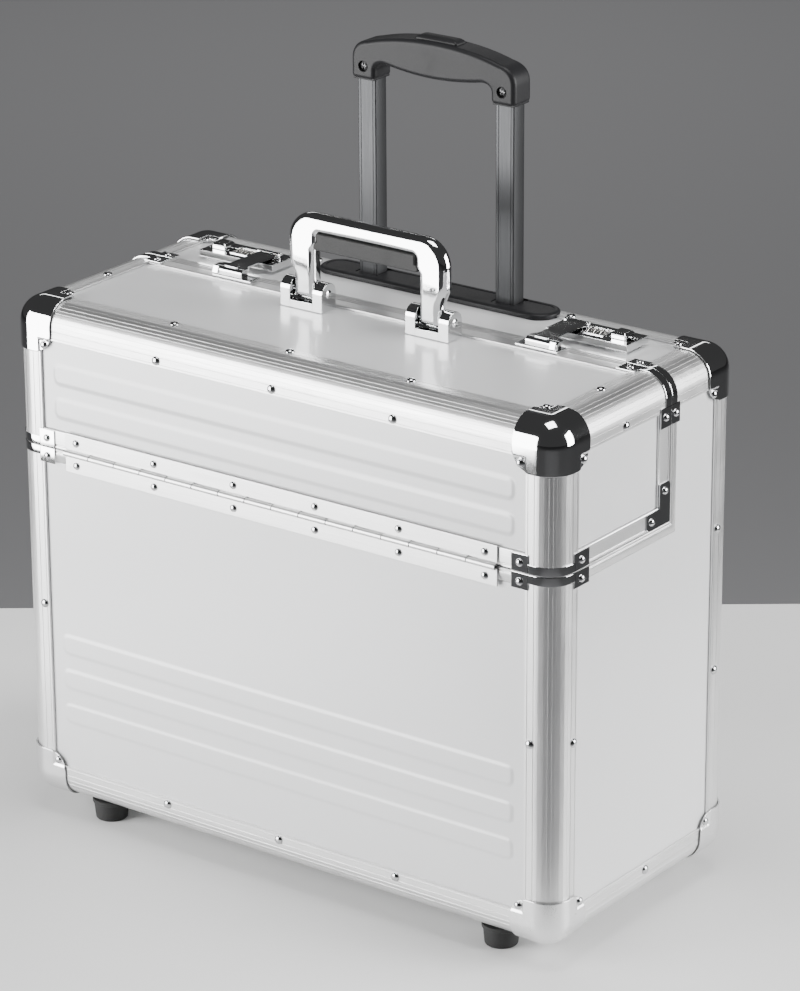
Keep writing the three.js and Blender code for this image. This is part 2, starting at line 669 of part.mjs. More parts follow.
// The bail, drawn from its pivot height up, with a leg at each end.
function bail() {
  const half = HANDLE_WIDTH / 2;
  const top = HANDLE_RISE - PIVOT_RISE;
  const legX = BASE_SPACING / 2;
  const legInner = legX - HANDLE_LEG / 2;
  const legOuter = legX + HANDLE_LEG / 2;
  const arch = new THREE.Shape();
  const { straight, start, full } = HANDLE_WAIST;
  const corner = { x: half - HANDLE_CORNER, z: top - HANDLE_CORNER };
  arch.moveTo(legOuter, 0);
  arch.lineTo(legOuter, straight);
  arch.quadraticCurveTo(half, start, half, full);
  arch.absarc(corner.x, corner.z, HANDLE_CORNER, 0, Math.PI / 2);
  arch.lineTo(-corner.x, top);
  arch.absarc(-corner.x, corner.z, HANDLE_CORNER, Math.PI / 2, Math.PI);
  arch.lineTo(-half, full);
  arch.quadraticCurveTo(-half, start, -legOuter, straight);
  arch.lineTo(-legOuter, 0);
  arch.lineTo(-legInner, 0);
  arch.lineTo(-legInner, top - HANDLE_BAR);
  arch.lineTo(legInner, top - HANDLE_BAR);
  arch.lineTo(legInner, 0);
  const across = [-HANDLE_DEPTH / 2, HANDLE_DEPTH / 2];
  const eyes = [-1, 1].map((side) =>
    prism(
      circle(0, 0, HANDLE_DEPTH / 2 - OVERLAP),
      "x",
      [side * legX - HANDLE_LEG / 2, side * legX + HANDLE_LEG / 2],
      5,
    ),
  );
  const bore = prism(circle(0, 0, HANDLE_PIN_RADIUS + GAP), "x", everywhere, 5);
  return cut(join(prism(arch, "y", across, 5), ...eyes), bore);
}

function gripInsert() {
  const legInner = BASE_SPACING / 2 - HANDLE_LEG / 2 - GAP;
  const top = HANDLE_RISE - PIVOT_RISE - HANDLE_BAR - GAP;
  const { height, chamferX, chamferZ } = GRIP_INSERT;
  const outline = [
    [-legInner, top],
    [-legInner, top - height + chamferZ],
    [-legInner + chamferX, top - height],
    [legInner - chamferX, top - height],
    [legInner, top - height + chamferZ],
    [legInner, top],
  ];
  return prism(outline, "y", [-HANDLE_DEPTH / 2, HANDLE_DEPTH / 2]);
}

for (const [word, side] of [["left", -1], ["right", 1]]) {
  const base = place(`handle_base_${word}`, handleBase(), "chrome", lid);
  base.position.set((side * BASE_SPACING) / 2, HANDLE_Y, BASE_FLOOR);
}
const handle = new THREE.Group();
handle.position.set(0, HANDLE_Y, BASE_FLOOR + PIVOT_RISE);
lid.add(handle);
place("carry_handle_bail", bail(), "chrome", handle);
place("carry_handle_grip", gripInsert(), "black", handle);

// Trolley ------------------------------------------------------------------------------------

const GUIDE_TOP = TOP - LINING - GAP;
const GUIDE_BOTTOM = FLOOR_OF_SHELL + LINING + GUIDE_LIFT;
const BEZEL_FLOOR = TOP - SKIN + GAP;
const BEZEL_TOP = TOP + BEZEL_PROUD;
const GRIP_BOTTOM = TOP + SHOWN_TUBE;

// The two guides stand on one foot bracket, which closes their lower ends.
function guideFrame() {
  const outer = stageSize(2);
  const footplate = box(
    [-TUBE_X - outer.x / 2, TUBE_X + outer.x / 2],
    [TUBE_Y - outer.y / 2, TUBE_Y + outer.y / 2],
    [GUIDE_BOTTOM, GUIDE_BOTTOM + FOOTPLATE],
  );
  const guides = [-1, 1].map((side) =>
    cut(
      tubeBlock(side, outer, [GUIDE_BOTTOM, GUIDE_TOP]),
      stageHole(side, 2, [GUIDE_BOTTOM + FOOTPLATE, HUGE]),
    ),
  );
  return join(footplate, ...guides);
}

function bezel() {
  const { x, y, z } = BEZEL_STEP;
  const base = roundedRectangle([-BEZEL_X, BEZEL_X], BEZEL_Y, BEZEL_ROUND);
  const rim = roundedRectangle([-BEZEL_X + x, BEZEL_X - x], [BEZEL_Y[0] + y, BEZEL_Y[1] - y], BEZEL_ROUND - y);
  const block = join(
    prism(base, "z", [BEZEL_FLOOR, BEZEL_TOP - z], 5),
    prism(rim, "z", [BEZEL_TOP - z - OVERLAP, BEZEL_TOP], 5),
  );
  return cut(block, ...[-1, 1].map((side) => stageHole(side, 2, everywhere)));
}

// A sheet folded round the guides, which keeps the load off them.
function trolleyCover() {
  const { wall, roomX, roomY } = COVER;
  const outer = stageSize(2);
  const half = TUBE_X + outer.x / 2 + roomX;
  const z = [FLOOR_OF_SHELL + EDGE, TOP - EDGE];
  const y = [TUBE_Y - outer.y / 2 - roomY, BACK - LINING - GAP];
  return cut(box([-half, half], y, z), box([-half + wall, half - wall], [y[0] + wall, HUGE], everywhere));
}

place("trolley_guide_frame", guideFrame(), "steel");
place("trolley_bezel", bezel(), "black");
place("trolley_cover", trolleyCover(), "cover");

const middleSpan = [GUIDE_BOTTOM + FOOTPLATE + 1, BEZEL_TOP - 1];
for (const [word, side] of [["left", -1], ["right", 1]]) {
  const sleeve = tubeBlock(side, stageSize(1), middleSpan);
  place(`middle_tube_${word}`, cut(sleeve, stageHole(side, 1, everywhere)), "tube");
  const bore = { x: TUBE.x - 2 * TUBE_WALL, y: TUBE.y - 2 * TUBE_WALL };
  const upperSpan = [middleSpan[0] + STOWED_DROP + 2, GRIP_BOTTOM - GAP];
  const upper = cut(tubeBlock(side, TUBE, upperSpan), tubeBlock(side, bore, everywhere));
  place(`upper_tube_${word}`, upper, "tube");
}

// The grip: an arch over two legs, with a soft belly under the middle of the bar.
function trolleyGrip() {
  const { halfWidth, legWidth, depth, rise, shoulder } = TROLLEY_GRIP;
  const { leg, start, pull } = TROLLEY_BELLY;
  const inner = halfWidth - legWidth;
  const shape = new THREE.Shape();
  shape.moveTo(halfWidth, 0);
  shape.lineTo(halfWidth, shoulder - 12);
  shape.quadraticCurveTo(halfWidth, shoulder, halfWidth - 14, shoulder + 2);
  shape.quadraticCurveTo(0, rise + 5.5, -halfWidth + 14, shoulder + 2);
  shape.quadraticCurveTo(-halfWidth, shoulder, -halfWidth, shoulder - 12);
  shape.lineTo(-halfWidth, 0);
  shape.lineTo(-inner, 0);
  shape.lineTo(-inner, leg);
  shape.quadraticCurveTo(-inner, start, -inner + 8, start);
  shape.quadraticCurveTo(0, pull, inner - 8, start);
  shape.quadraticCurveTo(inner, start, inner, leg);
  shape.lineTo(inner, 0);
  const body = prism(shape, "y", [-depth / 2, depth / 2], 8);
  const well = box(
    [-RELEASE.x / 2 - GAP, RELEASE.x / 2 + GAP],
    [-RELEASE.y / 2 - GAP, RELEASE.y / 2 + GAP],
    [rise - RELEASE.height - 3, HUGE],
  );
  return cut(body, well);
}

function releaseButton() {
  const half = RELEASE.x / 2;
  const shape = new THREE.Shape();
  shape.moveTo(-half, 0);
  shape.lineTo(half, 0);
  shape.lineTo(half, RELEASE.height - 1.5);
  shape.quadraticCurveTo(0, RELEASE.height + 1.5, -half, RELEASE.height - 1.5);
  return prism(shape, "y", [-RELEASE.y / 2, RELEASE.y / 2], 6);
}

const trolley = new THREE.Group();
trolley.position.set(0, TUBE_Y, GRIP_BOTTOM);
root.add(trolley);
place("trolley_grip", trolleyGrip(), "black", trolley);
const release = place("trolley_button", releaseButton(), "black", trolley);
release.position.z = TROLLEY_GRIP.rise - RELEASE.height + RELEASE.proud;

export default root;
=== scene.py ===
"""The looks of an aluminium-framed pilot case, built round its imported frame.

Every piece is made in metres in the frame's own axes: +Z up, the front at -Y. Sizes are millimetres
times MM, and places come from the frame's nodes.
"""

from __future__ import annotations

import logging
import math
from collections.abc import Iterable, Sequence
from dataclasses import dataclass, field
from enum import Enum

import bmesh
import bpy
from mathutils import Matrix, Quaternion, Vector

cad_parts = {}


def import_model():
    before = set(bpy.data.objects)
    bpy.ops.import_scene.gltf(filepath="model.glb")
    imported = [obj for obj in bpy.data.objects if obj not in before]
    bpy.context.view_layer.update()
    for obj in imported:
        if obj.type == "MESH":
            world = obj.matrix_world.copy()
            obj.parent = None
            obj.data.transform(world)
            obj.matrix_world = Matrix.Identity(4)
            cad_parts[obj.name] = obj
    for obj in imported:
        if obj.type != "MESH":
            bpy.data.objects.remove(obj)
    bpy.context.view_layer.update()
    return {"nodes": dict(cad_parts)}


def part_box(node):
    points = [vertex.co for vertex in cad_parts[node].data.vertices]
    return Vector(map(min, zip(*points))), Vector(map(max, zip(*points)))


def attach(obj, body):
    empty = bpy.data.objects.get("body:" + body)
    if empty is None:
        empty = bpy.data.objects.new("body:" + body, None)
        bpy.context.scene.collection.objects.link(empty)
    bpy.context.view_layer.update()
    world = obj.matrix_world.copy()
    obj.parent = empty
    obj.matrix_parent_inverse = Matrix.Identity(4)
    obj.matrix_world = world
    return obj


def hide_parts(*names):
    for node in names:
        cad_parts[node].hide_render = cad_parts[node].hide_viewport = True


MM = 0.001
LOG = logging.getLogger("pilot_case")
SIDES = {"left": -1, "right": 1}
Point2 = tuple[float, float]
Triple = tuple[float, float, float]


# Small tools for outlines and meshes ---------------------------------------------------------


class Axis(Enum):
    """An axis of the frame, by its place in a vector."""

    X = 0
    Y = 1
    Z = 2


def smooth_step(low: float, high: float, value: float) -> float:
    """Rises from 0 at low to 1 at high, level at both ends."""
    share = min(1.0, max(0.0, (value - low) / (high - low)))
    return share * share * (3 - 2 * share)


def spread(low: float, high: float, count: int) -> list[float]:
    """The count + 1 evenly spaced values from low to high."""
    return [low + (high - low) * i / count for i in range(count + 1)]


def arc(centre: Point2, radius: float, start: float, stop: float, steps: int) -> list[Point2]:
    """Points along an arc.

    Args:
        centre: The arc's centre.
        radius: Its radius.
        start: The angle it starts at, in degrees.
        stop: The angle it stops at, in degrees.
        steps: The number of stretches between its points.

    Returns:
        The points in order.
    """
    angles = [math.radians(a) for a in spread(start, stop, steps)]
    return [(centre[0] + radius * math.cos(a), centre[1] + radius * math.sin(a)) for a in angles]


def rounded_rectangle(low: Point2, high: Point2, radius: float, steps: int = 5) -> list[Point2]:
    """The outline of a rectangle with rounded corners, anticlockwise from its lower right corner."""
    (u0, v0), (u1, v1) = low, high
    return [
        *arc((u1 - radius, v0 + radius), radius, -90, 0, steps),
        *arc((u1 - radius, v1 - radius), radius, 0, 90, steps),
        *arc((u0 + radius, v1 - radius), radius, 90, 180, steps),
        *arc((u0 + radius, v0 + radius), radius, 180, 270, steps)]


def inset_outline(low: Vector, high: Vector, inset: Point2, radius: float, steps: int) -> list[Point2]:
    """A rounded rectangle drawn in from a box's sides in X and in Y."""
    u, v = inset
    return rounded_rectangle((low.x + u, low.y + v), (high.x - u, high.y - v), radius, steps)


def quadratic(start: Point2, control: Point2, stop: Point2, steps: int = 10) -> list[Point2]:
    """Points along a quadratic curve, without its first one."""
    points = []
    for t in spread(0, 1, steps)[1:]:
        a, b, c = (1 - t) ** 2, 2 * t * (1 - t), t * t
        points.append(tuple(a * p + b * q + c * r for p, q, r in zip(start, control, stop)))
    return points


def across(axis: Axis, along: float, u: float, v: float) -> Vector:
    """A point at a place along an axis, with (u, v) as (y, z) for X, (x, z) for Y and (x, y) for Z."""
    if axis is Axis.X:
        return Vector((along, u, v))
    if axis is Axis.Y:
        return Vector((u, along, v))
    return Vector((u, v, along))


@dataclass(frozen=True)
class Rounding:
    """How the crisp edges of a piece are broken."""

    width: float
    segments: int = 2
    from_angle: float = 35.0


def settle_mesh(obj: bpy.types.Object) -> None:
    """Turns an object's modifiers into its plain mesh and takes them off."""
    graph = bpy.context.evaluated_depsgraph_get()
    shown = obj.evaluated_get(graph)
    mesh = bpy.data.meshes.new_from_object(shown, preserve_all_data_layers=True, depsgraph=graph)
    obj.modifiers.clear()
    old = obj.data
    obj.data = mesh
    bpy.data.meshes.remove(old)


def shade(obj: bpy.types.Object, crisp_from: float = 38.0) -> None:
    """Shades an object smooth, apart from the edges sharper than an angle in degrees."""
    limit = math.radians(crisp_from)
    bm = bmesh.new()
    bm.from_mesh(obj.data)
    for face in bm.faces:
        face.smooth = True
    for edge in bm.edges:
        edge.smooth = len(edge.link_faces) == 2 and edge.calc_face_angle(0) < limit
    bm.to_mesh(obj.data)
    bm.free()


def break_edges(obj: bpy.types.Object, rounding: Rounding | None) -> None:
    """Rounds an object's crisp edges and keeps its flat faces flat in the light."""
    if rounding is not None:
        bevel = obj.modifiers.new("broken_edges", "BEVEL")
        bevel.width = rounding.width
        bevel.segments = rounding.segments
        bevel.limit_method = "ANGLE"
        bevel.angle_limit = math.radians(rounding.from_angle)
        settle_mesh(obj)
    shade(obj)
    flat = obj.modifiers.new("level_faces", "WEIGHTED_NORMAL")
    flat.keep_sharp = True
    settle_mesh(obj)


def carve(obj: bpy.types.Object, others: Iterable[bpy.types.Object], operation: str) -> None:
    """Cuts an object by others, or keeps what it shares with them, and removes the others.

    Args:
        obj: The object that changes.
        others: The objects to cut with.
        operation: DIFFERENCE or INTERSECT.
    """
    others = list(others)
    for other in others:
        cutting = obj.modifiers.new("carving", "BOOLEAN")
        cutting.operation = operation
        cutting.solver = "EXACT"
        cutting.object = other
    settle_mesh(obj)
    for other in others:
        mesh = other.data
        bpy.data.objects.remove(other)
        bpy.data.meshes.remove(mesh)


class Form:
    """Closed bodies gathered into one mesh."""

    def __init__(self) -> None:
        """Starts with nothing."""
        self.points: list[Vector] = []
        self.faces: list[list[int]] = []

    def skin(self, rings: Sequence[Sequence[Vector]], loop: bool = False) -> "Form":
        """Adds a skin over rings of equally many points.

        Args:
            rings: The rings in order.
            loop: Whether the last ring joins the first, instead of both being closed by a face.

        Returns:
            This form.
        """
        base, size, count = len(self.points), len(rings[0]), len(rings)
        for ring in rings:
            self.points.extend(Vector(p) for p in ring)
        for i in range(count if loop else count - 1):
            here, there = base + i * size, base + (i + 1) % count * size
            for j in range(size):
                k = (j + 1) % size
                self.faces.append([here + j, here + k, there + k, there + j])
        if not loop:
            self.faces.append([base + j for j in reversed(range(size))])
            self.faces.append([base + (count - 1) * size + j for j in range(size)])
        return self

    def prism(self, outline: Sequence[Point2], axis: Axis, span: Point2) -> "Form":
        """Adds an outline drawn across an axis and run between two places on it."""
        return self.skin([[across(axis, place, u, v) for u, v in outline] for place in span])

    def box(self, low: Sequence[float], high: Sequence[float]) -> "Form":
        """Adds a box between two corners."""
        (x0, y0, z0), (x1, y1, z1) = low, high
        return self.prism([(x0, y0), (x1, y0), (x1, y1), (x0, y1)], Axis.Z, (z0, z1))

    def turned(self, profile: Sequence[Point2], axis: Axis, centre: Triple, steps: int = 48,
               loop: bool = False) -> "Form":
        """Adds a body turned about an axis.

        Args:
            profile: Points as (radius, place along the axis), which start and end on the axis unless
                the profile closes on itself.
            axis: The axis.
            centre: A point that the axis goes through, from which places along it are counted.
            steps: The number of flats round it.
            loop: Whether the profile closes on itself.

        Returns:
            This form.
        """
        rings = []
        for radius, place in profile:
            ring = [across(axis, place, *p) for p in arc((0, 0), radius, 0, 360, steps)[:-1]]
            rings.append([Vector(centre) + p for p in ring])
        return self.skin(rings, loop)

    def rod(self, axis: Axis, centre: Triple, radius: float, span: Point2, steps: int = 24) -> "Form":
        """Adds a round bar between two places on an axis."""
        near, far = span
        return self.turned([(0, near), (radius, near), (radius, far), (0, far)], axis, centre, steps)

    def layers(self, outlines: Iterable[tuple[Sequence[Point2], float]], loop: bool = False) -> "Form":
        """Adds a skin over level outlines, each given with its height."""
        return self.skin([[Vector((x, y, z)) for x, y in outline] for outline, z in outlines], loop)

    def grid(self, points: Sequence[Sequence[Vector]]) -> "Form":
        """Adds an open sheet over rows of points."""
        base, width = len(self.points), len(points[0])
        for row in points:
            self.points.extend(Vector(p) for p in row)
        for i in range(len(points) - 1):
            for j in range(width - 1):
                at = base + i * width + j
                self.faces.append([at, at + 1, at + width + 1, at + width])
        return self

    def build(self, name: str) -> bpy.types.Object:
        """Makes the object, with doubled points merged and faces pointing out."""
        mesh = bpy.data.meshes.new(name)
        mesh.from_pydata([tuple(p) for p in self.points], [], self.faces)
        bm = bmesh.new()
        bm.from_mesh(mesh)
        bmesh.ops.remove_doubles(bm, verts=bm.verts, dist=1e-6)
        bmesh.ops.dissolve_degenerate(bm, edges=bm.edges, dist=1e-7)
        bmesh.ops.recalc_face_normals(bm, faces=bm.faces)
        bm.to_mesh(mesh)
        bm.free()
        obj = bpy.data.objects.new(name, mesh)
        bpy.context.scene.collection.objects.link(obj)
        return obj


# Shell planes ----------------------------------------------------------------------------------


@dataclass(frozen=True)
class Shell:
    """The planes that the case is built to, read from the frame."""

    low: Vector
    high: Vector
    lid_floor: float  # underside of the lid's rim
    lid_back: float  # rear face of the lid's rim
    rim_gap: float = 0.6 * MM
    rounding: float = 17 * MM  # of the edges

    @classmethod
    def from_frame(cls) -> "Shell":
        """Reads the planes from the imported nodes."""
        low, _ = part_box("lower_edge_frame")
        _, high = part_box("rear_edge_frame")
        rim_low, rim_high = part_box("lid_rim")
        return cls(low, high, rim_low.z, rim_high.y)

    @property
    def body_top(self) -> float:
        """Top of the body's rim."""
        return self.lid_floor - self.rim_gap

    @property
    def body_front(self) -> float:
        """Front face of the body's rim across the top."""
        return self.lid_back + self.rim_gap

    def face(self, axis: Axis, sign: int) -> float:
        """The place of the shell's face on one side of an axis."""
        return (self.high if sign > 0 else self.low)[axis.value]

    def beside(self, side: int, near: float, far: float) -> Point2:
        """Two places in X, at depths under the left or right face, in rising order."""
        face = self.face(Axis.X, side)
        return tuple(sorted((face - side * near, face - side * far)))

    def inward(self, axis: Axis, signs: tuple[int, int], along: float, u: float, v: float) -> Vector:
        """A point near an edge of the shell.

        Args:
            axis: The edge's own axis.
            signs: Which way the two faces look, in the order of the other two axes.
            along: The place on the axis.
            u: Depth under the first face.
            v: Depth under the second face.

        Returns:
            The point.
        """
        first, second = [a for a in Axis if a is not axis]
        return across(
            axis, along, self.face(first, signs[0]) - signs[0] * u,
            self.face(second, signs[1]) - signs[1] * v)


# Finishes --------------------------------------------------------------------------------------


class Grain(Enum):
    """What breaks up the surface of a finish."""

    DRAWN = "drawn"
    PEBBLED = "pebbled"
    WOVEN = "woven"


def new_group(name: str, inputs: dict[str, tuple[str, object]], outputs: dict[str, str],
              kind: str) -> bpy.types.NodeTree:
    """Makes an empty node group with named sockets.

    Args:
        name: The group's name.
        inputs: Socket type and starting value by name.
        outputs: Socket type by name.
        kind: ShaderNodeTree or GeometryNodeTree.

    Returns:
        The group.
    """
    tree = bpy.data.node_groups.new(name, kind)
    for label, (socket, value) in inputs.items():
        made = tree.interface.new_socket(label, in_out="INPUT", socket_type=socket)
        if value is not None:
            made.default_value = value
    for label, socket in outputs.items():
        tree.interface.new_socket(label, in_out="OUTPUT", socket_type=socket)
    return tree


class Wiring:
    """Adds nodes to a tree and joins them."""

    def __init__(self, tree: bpy.types.NodeTree) -> None:
        """Starts on a tree."""
        self.tree = tree
        self.column = 0

    def node(self, kind: str, inputs: dict[str | int, object] | None = None,
             **settings: object) -> bpy.types.Node:
        """Adds a node.

        Args:
            kind: The node's type name.
            inputs: By socket name or index, an output socket to join or a value to set.
            settings: The node's own properties.

        Returns:
            The node.
        """
        made = self.tree.nodes.new(kind)
        made.location = (self.column * 180, 0)
        self.column += 1
        for label, value in settings.items():
            setattr(made, label, value)
        for label, value in (inputs or {}).items():
            socket = made.inputs[label]
            if isinstance(value, bpy.types.NodeSocket):
                self.tree.links.new(value, socket)
            else:
                socket.default_value = value
        return made

    def math(self, operation: str, *values: object) -> bpy.types.NodeSocket:
        """A math node's result."""
        node = self.node("ShaderNodeMath", dict(enumerate(values)), operation=operation)
        return node.outputs[0]

    def vector(self, operation: str, *values: object) -> bpy.types.Node:
        """A vector math node."""
        return self.node("ShaderNodeVectorMath", dict(enumerate(values)), operation=operation)


class EffectShelf:
    """The surface effects that several finishes share, each made once as a node group."""

    def __init__(self) -> None:
        """Makes the groups."""
        self.grains = {
            Grain.DRAWN: self.drawn_lines(), Grain.PEBBLED: self.pebbles(), Grain.WOVEN: self.weave()}
        self.marks = self.handling_marks()

    @staticmethod
    def start(name: str) -> tuple[Wiring, bpy.types.Node]:
        """Starts an effect group, which turns a place on the surface into a mask."""
        inputs = {
            "Place": ("NodeSocketVector", None), "Direction": ("NodeSocketVector", None),
            "Scale": ("NodeSocketFloat", 1.0)}
        tree = new_group(name, inputs, {"Mask": "NodeSocketFloat"}, "ShaderNodeTree")
        wiring = Wiring(tree)
        return wiring, wiring.node("NodeGroupInput")

    @staticmethod
    def stop(wiring: Wiring, mask: bpy.types.NodeSocket) -> bpy.types.NodeTree:
        """Ends an effect group on its mask."""
        wiring.node("NodeGroupOutput", {0: mask})
        return wiring.tree

    def drawn_lines(self) -> bpy.types.NodeTree:
        """Fine lines drawn out along the surface's direction, as brushing and extrusion leave them."""
        wiring, given = self.start("drawn_lines")
        place, direction = given.outputs["Place"], given.outputs["Direction"]
        reach = wiring.vector("DOT_PRODUCT", place, direction).outputs["Value"]
        drawn = wiring.vector("SCALE", direction)
        wiring.tree.links.new(wiring.math("MULTIPLY", reach, 0.985), drawn.inputs["Scale"])
        flat = wiring.vector("SUBTRACT", place, drawn.outputs[0]).outputs[0]
        noise = wiring.node(
            "ShaderNodeTexNoise",
            {"Vector": flat, "Scale": given.outputs["Scale"], "Detail": 3.0, "Roughness": 0.6},
        )
        mask = wiring.node("ShaderNodeMapRange", {0: noise.outputs[0], 1: 0.3, 2: 0.7})
        return self.stop(wiring, mask.outputs[0])

    def pebbles(self) -> bpy.types.NodeTree:
        """The small rounded cells of a moulded or sprayed surface."""
        wiring, given = self.start("pebbles")
        cells = wiring.node(
            "ShaderNodeTexVoronoi",
            {"Vector": given.outputs["Place"], "Scale": given.outputs["Scale"], "Smoothness": 0.6},
            feature="SMOOTH_F1")
        mask = wiring.node("ShaderNodeMapRange", {0: cells.outputs["Distance"], 1: 0.7, 2: 0.1})
        return self.stop(wiring, mask.outputs[0])

    def weave(self) -> bpy.types.NodeTree:
        """Over-and-under threads of a woven lining."""
        wiring, given = self.start("weave")
        scaled = wiring.vector("SCALE", given.outputs["Place"])
        wiring.tree.links.new(given.outputs["Scale"], scaled.inputs["Scale"])
        parts = wiring.node("ShaderNodeSeparateXYZ", {0: scaled.outputs[0]})
        waves = [wiring.math("SINE", parts.outputs[i]) for i in range(3)]
        first = wiring.math("MULTIPLY", waves[0], waves[1])
        second = wiring.math("MULTIPLY", waves[1], waves[2])
        third = wiring.math("MULTIPLY", waves[2], waves[0])
        total = wiring.math("ADD", wiring.math("ADD", first, second), third)
        mask = wiring.node("ShaderNodeMapRange", {0: total, 1: -1.0, 2: 1.0})
        return self.stop(wiring, mask.outputs[0])

    def handling_marks(self) -> bpy.types.NodeTree:
        """Soft patches where hands and cloths have dulled the gloss."""
        wiring, given = self.start("handling_marks")
        wide = wiring.node(
            "ShaderNodeTexNoise",
            {"Vector": given.outputs["Place"], "Scale": given.outputs["Scale"], "Detail": 5.0,
             "Roughness": 0.65, "Distortion": 0.8},
        )
        mask = wiring.node("ShaderNodeMapRange", {0: wide.outputs[0], 1: 0.5, 2: 0.8},
                           interpolation_type="SMOOTHSTEP")
        return self.stop(wiring, mask.outputs[0])


@dataclass(frozen=True)
class Finish:
    """A surface finish and how it is broken up."""

    name: str
    slot: str
    color: Triple
    metallic: float
    roughness: float
    grain: Grain = Grain.DRAWN
    grain_scale: float = 900.0
    grain_shade: float = 0.05  # share of the colour lost in the grain's hollows
    grain_rough: float = 0.06
    grain_depth: float = 0.004 * MM
    mark_scale: float = 14.0
    mark_rough: float = 0.08
    mark_shade: float = 0.02
    coat: float = 0.0
    specular: float = 0.5
    coat_roughness: float = 0.08

    def material(self, shelf: EffectShelf) -> bpy.types.Material:
        """Makes the material.

        Args:
            shelf: The shared effects.

        Returns:
            The material, with its shader's colour, roughness and normal led by the effects.
        """
        made = bpy.data.materials.new(self.name)
        made.use_nodes = True
        made.node_tree.nodes.clear()
        wiring = Wiring(made.node_tree)
        place = wiring.node("ShaderNodeTexCoord").outputs["Object"]
        direction = wiring.node("ShaderNodeAttribute", attribute_name="grain").outputs["Vector"]
        given = {"Place": place, "Direction": direction}
        grain = wiring.node("ShaderNodeGroup", node_tree=shelf.grains[self.grain])
        marks = wiring.node("ShaderNodeGroup", node_tree=shelf.marks)
        for effect, scale in ((grain, self.grain_scale), (marks, self.mark_scale)):
            for label, socket in given.items():
                wiring.tree.links.new(socket, effect.inputs[label])
            effect.inputs["Scale"].default_value = scale
        hollow = tuple(c * (1 - self.grain_shade) for c in self.color)
        dulled = tuple(c * (1 - self.mark_shade) for c in self.color)
        tone = wiring.node(
            "ShaderNodeMix", {"Factor": grain.outputs[0], 6: (*hollow, 1), 7: (*self.color, 1)},
            data_type="RGBA")
        color = wiring.node(
            "ShaderNodeMix", {"Factor": marks.outputs[0], 6: tone.outputs[2], 7: (*dulled, 1)},
            data_type="RGBA")
        uneven = wiring.math("MULTIPLY_ADD", grain.outputs[0], -self.grain_rough,
                             self.roughness + self.grain_rough / 2)
        rough = wiring.math("MULTIPLY_ADD", marks.outputs[0], self.mark_rough, uneven)
        bump = wiring.node("ShaderNodeBump", {"Height": grain.outputs[0], "Distance": self.grain_depth})
        shader = wiring.node(
            "ShaderNodeBsdfPrincipled",
            {
                "Base Color": color.outputs[2], "Roughness": rough, "Normal": bump.outputs[0],
                "Metallic": self.metallic, "Coat Weight": self.coat,
                "Specular IOR Level": self.specular, "Coat Roughness": self.coat_roughness},
        )
        wiring.node("ShaderNodeOutputMaterial", {0: shader.outputs[0]})
        return made


PANEL_SHEET = Finish("satin_silver_sheet", "panel", (0.78, 0.784, 0.79), 0.15, 0.34, Grain.PEBBLED, 2600.0,
                     0.02, 0.04, 0.002 * MM, 9.0, 0.05, 0.015, coat=0.3, coat_roughness=0.10)
RAIL_METAL = Finish("drawn_aluminium_rail", "rail", (0.82, 0.82, 0.82), 0.92, 0.34, Grain.DRAWN, 1500.0,
                    0.10, 0.12, 0.006 * MM)
CAST_METAL = Finish("bright_aluminium_cap", "rail", (0.84, 0.84, 0.845), 0.95, 0.22, Grain.PEBBLED, 1800.0,
                    0.03, 0.06, 0.003 * MM)
CHROME = Finish("polished_chrome", "chrome", (0.86, 0.865, 0.87), 1.0, 0.045, Grain.PEBBLED, 900.0,
                0.01, 0.01, 0.0, 22.0, 0.07, 0.03)
RIVET_METAL = Finish("polished_rivet", "chrome", (0.60, 0.60, 0.61), 1.0, 0.07, Grain.PEBBLED, 2500.0,
                     0.06, 0.06, 0.002 * MM)
HINGE_STEEL = Finish("brushed_hinge_steel", "steel", (0.78, 0.78, 0.78), 1.0, 0.40, Grain.DRAWN, 1400.0,
                     0.08, 0.10, 0.004 * MM)
# Dark steel: the grip screws' own blacked finish, and on the hinge pin painted shade that darkens the gaps
# between the knuckles.
DARK_SCREW_AND_PAINTED_GAP_SHADE = Finish("blacked_screw_steel_and_painted_gap_shade", "steel", (0.09, 0.09, 0.092), 1.0, 0.30, Grain.PEBBLED, 2000.0,
                     0.06)
DIAL_METAL = Finish("dial_nickel", "steel", (0.72, 0.71, 0.69), 1.0, 0.22, Grain.PEBBLED, 3000.0, 0.08)
TUBE_METAL = Finish("grey_anodised_tube", "tube", (0.052, 0.053, 0.055), 0.85, 0.40, Grain.DRAWN, 1300.0,
                    0.18, 0.10, 0.004 * MM)
BLACK_PLASTIC = Finish("satin_black_plastic", "black_plastic", (0.018, 0.018, 0.0195), 0.0, 0.40,
                       Grain.PEBBLED, 2200.0, 0.25, 0.10, 0.010 * MM, 30.0, 0.08, 0.05, specular=0.2)
RUBBER = Finish("black_rubber", "rubber", (0.018, 0.018, 0.018), 0.0, 0.62, Grain.PEBBLED, 1500.0,
                0.30, 0.12, 0.020 * MM, 40.0, 0.10, 0.08)
LINING_CLOTH = Finish("woven_grey_lining", "lining", (0.05, 0.051, 0.055), 0.0, 0.85, Grain.WOVEN, 5200.0,
                      0.55, 0.10, 0.060 * MM, 12.0, 0.05, 0.06)
NUMBER_PAINT = Finish("black_number_paint", "steel", (0.012, 0.012, 0.013), 0.0, 0.45, Grain.PEBBLED,
                      4000.0, 0.2)


